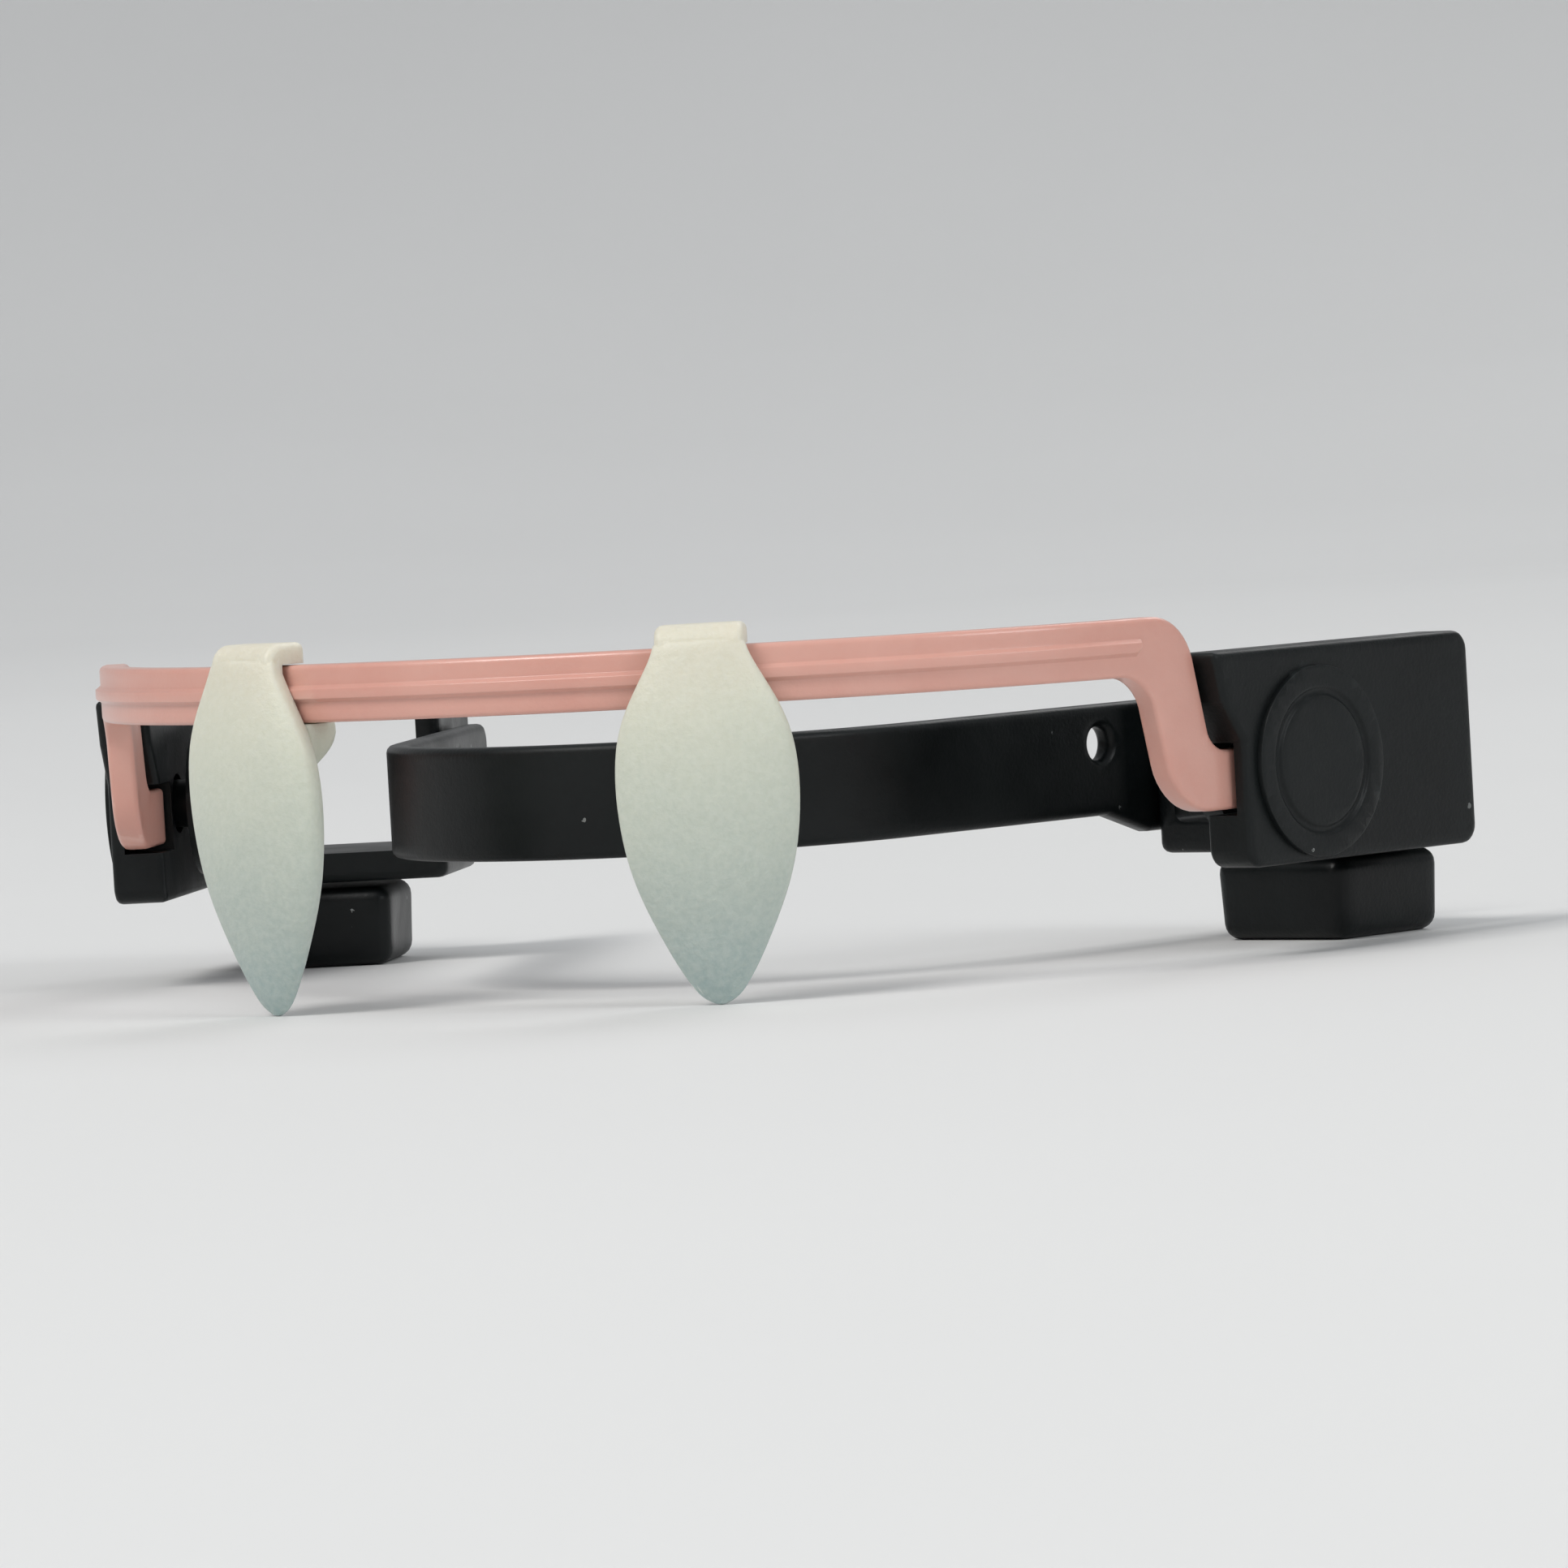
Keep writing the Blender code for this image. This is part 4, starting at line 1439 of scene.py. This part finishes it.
@dataclass
class MolarTray:
    """One molar tray: a trough open at its top and ends, with the hinge ear in front."""

    sizes: TraySizes = TRAY
    cell: float = 0.0007

    def trough(self) -> Piece:
        """Model the trough from a box by cutting its channel.

        Returns:
            The trough, in the side's frame.
        """
        s = self.sizes
        end = s.front_run + s.length
        floor_z = s.bottom_z + s.floor
        tray = Bench.add_box("tray_trough_right", (s.inner, s.front_run, s.bottom_z), (s.outer, end, s.top_z))
        Bench.soften(tray, s.edge, 4)
        channel = Bench.add_box(
            "channel", (s.inner + s.wall, s.front_run - PAST, floor_z),
            (s.outer - s.wall, end + PAST, s.top_z + PAST))
        with Bench.editing(channel):
            Bench.round_corners(channel, "y", lambda middle: middle.z < floor_z + TINY, s.floor_round, 5)
        Bench.combine(tray, channel, "DIFFERENCE")
        return tray

    def ear(self) -> Piece:
        """Model the hinge ear, a plate with a round nose.

        Returns:
            The ear, in the side's frame.
        """
        s = self.sizes
        nose = LEVER.pivot_run - s.ear_radius
        ear = Bench.add_box(
            "hinge_ear", (s.outer - s.wall, nose, LEVER.pivot_z - s.ear_radius),
            (s.outer, s.front_run + s.edge + CLEARANCE, LEVER.pivot_z + s.ear_radius))
        with Bench.editing(ear):
            Bench.round_corners(
                ear, "x", lambda middle: middle.y < nose + TINY, s.ear_radius * s.nose_share, 12)
        return ear

    def build(self, material: Material) -> None:
        """Build the right tray and mount it with its twin.

        Args:
            material: Their finish.
        """
        tray = self.trough()
        Bench.combine(tray, self.ear(), "UNION")
        Bench.combine(tray, HingePin().hole(), "DIFFERENCE")
        Bench.soften(tray, self.sizes.fine_edge, 2, 60.0)
        Bench.slice_up(tray, (self.cell, self.cell, self.cell))
        Bench.place(tray, BAR.side_frame(Side.RIGHT))
        mount_pair(tray, "molar_tray", Body.MOUTHPIECE, material)


@dataclass
class BitePad:
    """One bite pad: a rounded block with a little draft."""

    sizes: TraySizes = TRAY
    cell: float = 0.0007

    def build(self, material: Material) -> None:
        """Build the right pad and mount it with its twin.

        Args:
            material: Their finish.
        """
        s = self.sizes
        outer = s.outer - s.pad_inset
        low = Vector((outer - s.pad_width, s.front_run + s.pad_inset, 0.0))
        high = Vector((outer, low.y + s.pad_length, s.bottom_z - CLEARANCE))
        pad = Bench.add_box("bite_pad_block_right", low, high)
        with Bench.editing(pad):
            Bench.pick_verts(pad, lambda place: place.z < TINY)
            bpy.ops.transform.resize(
                value=(s.pad_draft, s.pad_draft, 1.0),
                center_override=((low.x + high.x) / 2.0, (low.y + high.y) / 2.0, 0.0))
        Bench.soften(pad, s.pad_edge, 5)
        Bench.slice_up(pad, (self.cell, self.cell, self.cell))
        Bench.place(pad, BAR.side_frame(Side.RIGHT))
        mount_pair(pad, "bite_pad", Body.MOUTHPIECE, material)


@dataclass
class LingualBand:
    """The band behind the front teeth, deeper at its heels, with a small hole in each arm."""

    front_y: float = 0.0095
    thickness: float = 0.0012
    bottom_z: float = 0.0064
    top_z: float = 0.0118
    heel_drop: float = 0.0010
    heel_run: float = 0.0030
    seat: float = 0.0060
    corner: float = 0.0010
    edge: float = 0.00035
    fine_edge: float = 0.00008
    hole_radius: float = 0.0008
    hole_z: float = 0.0099
    hole_ahead: float = 0.0034
    hole_land: float = 0.0001
    hole_flare: float = 0.00055
    flare_turn: float = math.radians(70.0)
    flare_steps: int = 6
    cell: float = 0.0006

    @property
    def outer(self) -> float:
        """Give how far out the arms' outer faces lie."""
        return TRAY.inner - CLEARANCE

    def arch(self) -> Arch:
        """Give the arch that brings the band from its middle onto the line beside the trays.

        Returns:
            The arch of the band's outer face.
        """
        corner = BAR.side_frame(Side.RIGHT) @ Vector((self.outer, 0.0, 0.0))
        heading = BAR.lever_heading
        offset = corner.x * math.sin(heading) - corner.y * math.cos(heading)
        front = BAR.arch().front_y + self.front_y
        radius = (offset + front * math.cos(heading)) / (1.0 - math.cos(heading))
        return Arch(((radius, heading),), front)

    def run_at(self, run: float) -> float:
        """Turn a run along the lever's line into a run along the band.

        Args:
            run: The run along the lever's line.

        Returns:
            The run along the band's arch.
        """
        arch = self.arch()
        x, y, _ = arch.at(arch.run())
        local = BAR.side_frame(Side.RIGHT).inverted() @ Vector((x, y, 0.0))
        return arch.run() + run - local.y

    def blank(self) -> Piece:
        """Model the flat blank, with its deeper heels.

        Returns:
            The whole blank.
        """
        heel = self.run_at(TRAY.front_run)
        end = self.run_at(TRAY.front_run + self.seat)
        band = Bench.add_box(
            "lingual_band_arch", (0.0, 0.0, self.bottom_z),
            (heel - self.heel_run, self.thickness, self.top_z))
        with Bench.editing(band):
            Bench.open_middle(band)
            Bench.pick_faces(band, "+x")
            Bench.extrude((self.heel_run, 0.0, 0.0))
            Bench.pick_verts(
                band, lambda place: place.x > heel - TINY and place.z < self.bottom_z + TINY)
            bpy.ops.transform.translate(value=(0.0, 0.0, -self.heel_drop))
            Bench.pick_faces(band, "+x")
            Bench.extrude((end - heel, 0.0, 0.0))
            Bench.round_corners(band, "y", lambda middle: middle.x > end - TINY, self.corner, 6)
        Bench.join_halves(band)
        return band

    def hole(self, face: Vector, side: Side) -> Piece:
        """Model the space of one arm's hole, flared at both rims.

        Args:
            face: Where the hole's axis meets the arm's outer face.
            side: The side of the arm.

        Returns:
            The cutter, in the part's frame.
        """
        land = Vector((self.hole_land, 0.0, 0.0))
        cutter = Bench.add_rod("arm_hole", -land, land, self.hole_radius, 48)
        with Bench.editing(cutter):
            for sign, way in ((-1.0, "-x"), (1.0, "+x")):
                Bench.pick_faces(cutter, way, lambda middle: middle.x * sign > 0.0)
                depth, radius = 0.0, self.hole_radius
                for step in range(1, self.flare_steps + 1):
                    turn = self.flare_turn * step / self.flare_steps
                    wider = self.hole_radius + self.hole_flare * (1.0 - math.cos(turn))
                    deeper = self.hole_flare * math.sin(turn)
                    Bench.extrude((sign * (deeper - depth), 0.0, 0.0))
                    bpy.ops.transform.resize(
                        value=(1.0, wider / radius, wider / radius),
                        center_override=(sign * (self.hole_land + deeper), 0.0, 0.0))
                    depth, radius = deeper, wider
                Bench.extrude((sign * self.thickness, 0.0, 0.0))
            Bench.face_outwards()
        middle = Matrix.Translation((-side.value * self.thickness / 2.0, 0.0, 0.0))
        Bench.place(cutter, Matrix.Translation(face) @ BAR.side_turn(side) @ middle)
        return cutter

    def build(self, material: Material) -> None:
        """Build, bend and dress the band.

        Args:
            material: Its finish.
        """
        band = self.blank()
        Bench.soften(band, self.edge, 3, 60.0)
        Bench.slice_up(band, (self.cell, 0.0, self.cell))
        self.arch().bend(band, self.run_at(TRAY.front_run + self.seat) + PAST)
        for side in Side:
            local = Vector((side.value * self.outer, TRAY.front_run - self.hole_ahead, self.hole_z))
            Bench.combine(band, self.hole(BAR.side_frame(side) @ local, side), "DIFFERENCE")
        Bench.soften(band, self.fine_edge, 2, 60.0)
        Bench.close_up(band, 40.0)
        mount(band, "lingual_band", Body.MOUTHPIECE, material)


@dataclass(frozen=True)
class Lamp:
    """One soft square lamp.

    Attributes:
        name: Its name.
        place: Where it stands.
        size: The length of its side.
        power: Its power in watts.
        tint: Its colour.
    """

    name: str
    place: Triple
    size: float
    power: float
    tint: Triple


@dataclass
class Studio:
    """The plain pale bowl, the soft lights and the camera at the photograph's angle."""

    azimuth: float = math.radians(25.0)
    elevation: float = math.radians(2.44)
    roll: float = math.radians(-3.3)
    lens: float = 200.0
    sensor: float = 36.0
    clip: Pair = (0.01, 10.0)
    view_width: float = 0.0755
    aim_right: float = 0.0053
    aim_up: float = 0.0002
    bowl_radius: float = 2.4
    bowl_height: float = 2.2
    bowl_round: float = 1.6
    paper: tuple[Triple, Triple] = ((0.73, 0.73, 0.725), (0.76, 0.76, 0.755))
    paper_roughness: float = 0.75
    lit_point: Triple = (0.0, 0.0, 0.01)
    lamps: tuple[Lamp, ...] = (
        Lamp("key_lamp", (-0.38, -0.82, 1.10), 0.55, 10.2, (1.0, 0.985, 0.96)),
        Lamp("side_lamp", (1.05, -0.30, 0.60), 0.50, 3.8, (0.96, 0.985, 1.0)),
        Lamp("rear_lamp", (0.10, 1.00, 0.95), 0.70, 3.4, (1.0, 1.0, 1.0)),
    )
    room_tint: tuple[float, float, float, float] = (0.93, 0.96, 1.0, 1.0)
    room_strength: float = 0.47

    def at_rim(self, middle: Vector) -> bool:
        """Tell whether a place is at the floor's rim or on its wall."""
        return middle.xy.length > self.bowl_radius * FACING

    def bowl(self) -> None:
        """Model the floor that curves up into a round backdrop, and dress it."""
        bpy.ops.object.select_all(action="DESELECT")
        bpy.ops.mesh.primitive_circle_add(vertices=96, radius=self.bowl_radius, fill_type="NGON")
        bowl = Bench.name_new("pale_floor")
        with Bench.editing(bowl):
            Bench.pick(bowl, Kind.EDGE, lambda middle, _: self.at_rim(middle))
            bpy.ops.mesh.extrude_edges_move(TRANSFORM_OT_translate={"value": (0.0, 0.0, self.bowl_height)})
            Bench.pick(bowl, Kind.EDGE, lambda middle, _: middle.z < TINY and self.at_rim(middle))
            bpy.ops.mesh.bevel(offset=self.bowl_round, segments=16, affect="EDGES", clamp_overlap=False)
            Bench.face_outwards(inside=True)
        bpy.ops.object.shade_smooth()
        material, sheet, shader, place = start_material("pale_paper")
        drift = sheet.effect(Effects.drift(), place, Clouds_per_metre=3.0)["Mask"]
        sheet.feed(shader["Base Color"], sheet.mix(drift, *self.paper))
        shader["Roughness"].default_value = self.paper_roughness
        bowl.data.materials.append(material)

    def light(self) -> None:
        """Light the denture softly from above, in front and both sides."""
        for lamp in self.lamps:
            data = bpy.data.lights.new(lamp.name, "AREA")
            data.shape = "SQUARE"
            data.size = lamp.size
            data.energy = lamp.power
            data.color = lamp.tint
            stand = bpy.data.objects.new(lamp.name, data)
            bpy.context.scene.collection.objects.link(stand)
            stand.location = lamp.place
            aim = Vector(self.lit_point) - Vector(lamp.place)
            stand.rotation_euler = aim.to_track_quat("-Z", "Y").to_euler()
        world = bpy.data.worlds.new("soft_room")
        bpy.context.scene.world = world
        world.use_nodes = True
        back = world.node_tree.nodes["Background"]
        back.inputs["Color"].default_value = self.room_tint
        back.inputs["Strength"].default_value = self.room_strength

    def camera(self) -> None:
        """Set the camera at the photograph's viewing angle, close on the denture."""
        low, high = cad_box
        right = Vector((math.cos(self.azimuth), math.sin(self.azimuth), 0.0))
        ahead = Vector((math.sin(self.azimuth), -math.cos(self.azimuth), 0.0))
        back = ahead * math.cos(self.elevation) + Vector((0.0, 0.0, math.sin(self.elevation)))
        data = bpy.data.cameras.new("photo_view")
        data.lens = self.lens
        data.sensor_width = self.sensor
        data.clip_start, data.clip_end = self.clip
        camera = bpy.data.objects.new("photo_view", data)
        bpy.context.scene.collection.objects.link(camera)
        centre = (Vector(low) + Vector(high)) / 2.0
        aim = centre + right * self.aim_right + Vector((0.0, 0.0, self.aim_up))
        camera.location = aim + back * self.view_width * self.lens / self.sensor
        camera.rotation_mode = "QUATERNION"
        roll = Quaternion((0.0, 0.0, 1.0), self.roll)
        camera.rotation_quaternion = (-back).to_track_quat("-Z", "Y") @ roll
        bpy.context.scene.camera = camera
        bpy.context.scene.view_settings.view_transform = "Standard"

    def build(self) -> None:
        """Set up floor, lights and camera."""
        self.bowl()
        self.light()
        self.camera()


def main() -> None:
    """Build the studio and every piece, in order."""
    logging.basicConfig(level=logging.INFO, format="%(message)s")
    Studio().build()
    salmon = SalmonAcrylic().make()
    ivory = IvoryPlastic().make()
    black = BlackPlastic().make()
    FrontBar().build(salmon)
    Fang().build(ivory)
    for part in (Lever(), HingePin(), MolarTray(), BitePad(), LingualBand()):
        part.build(black)


if __name__ == "__main__":
    main()
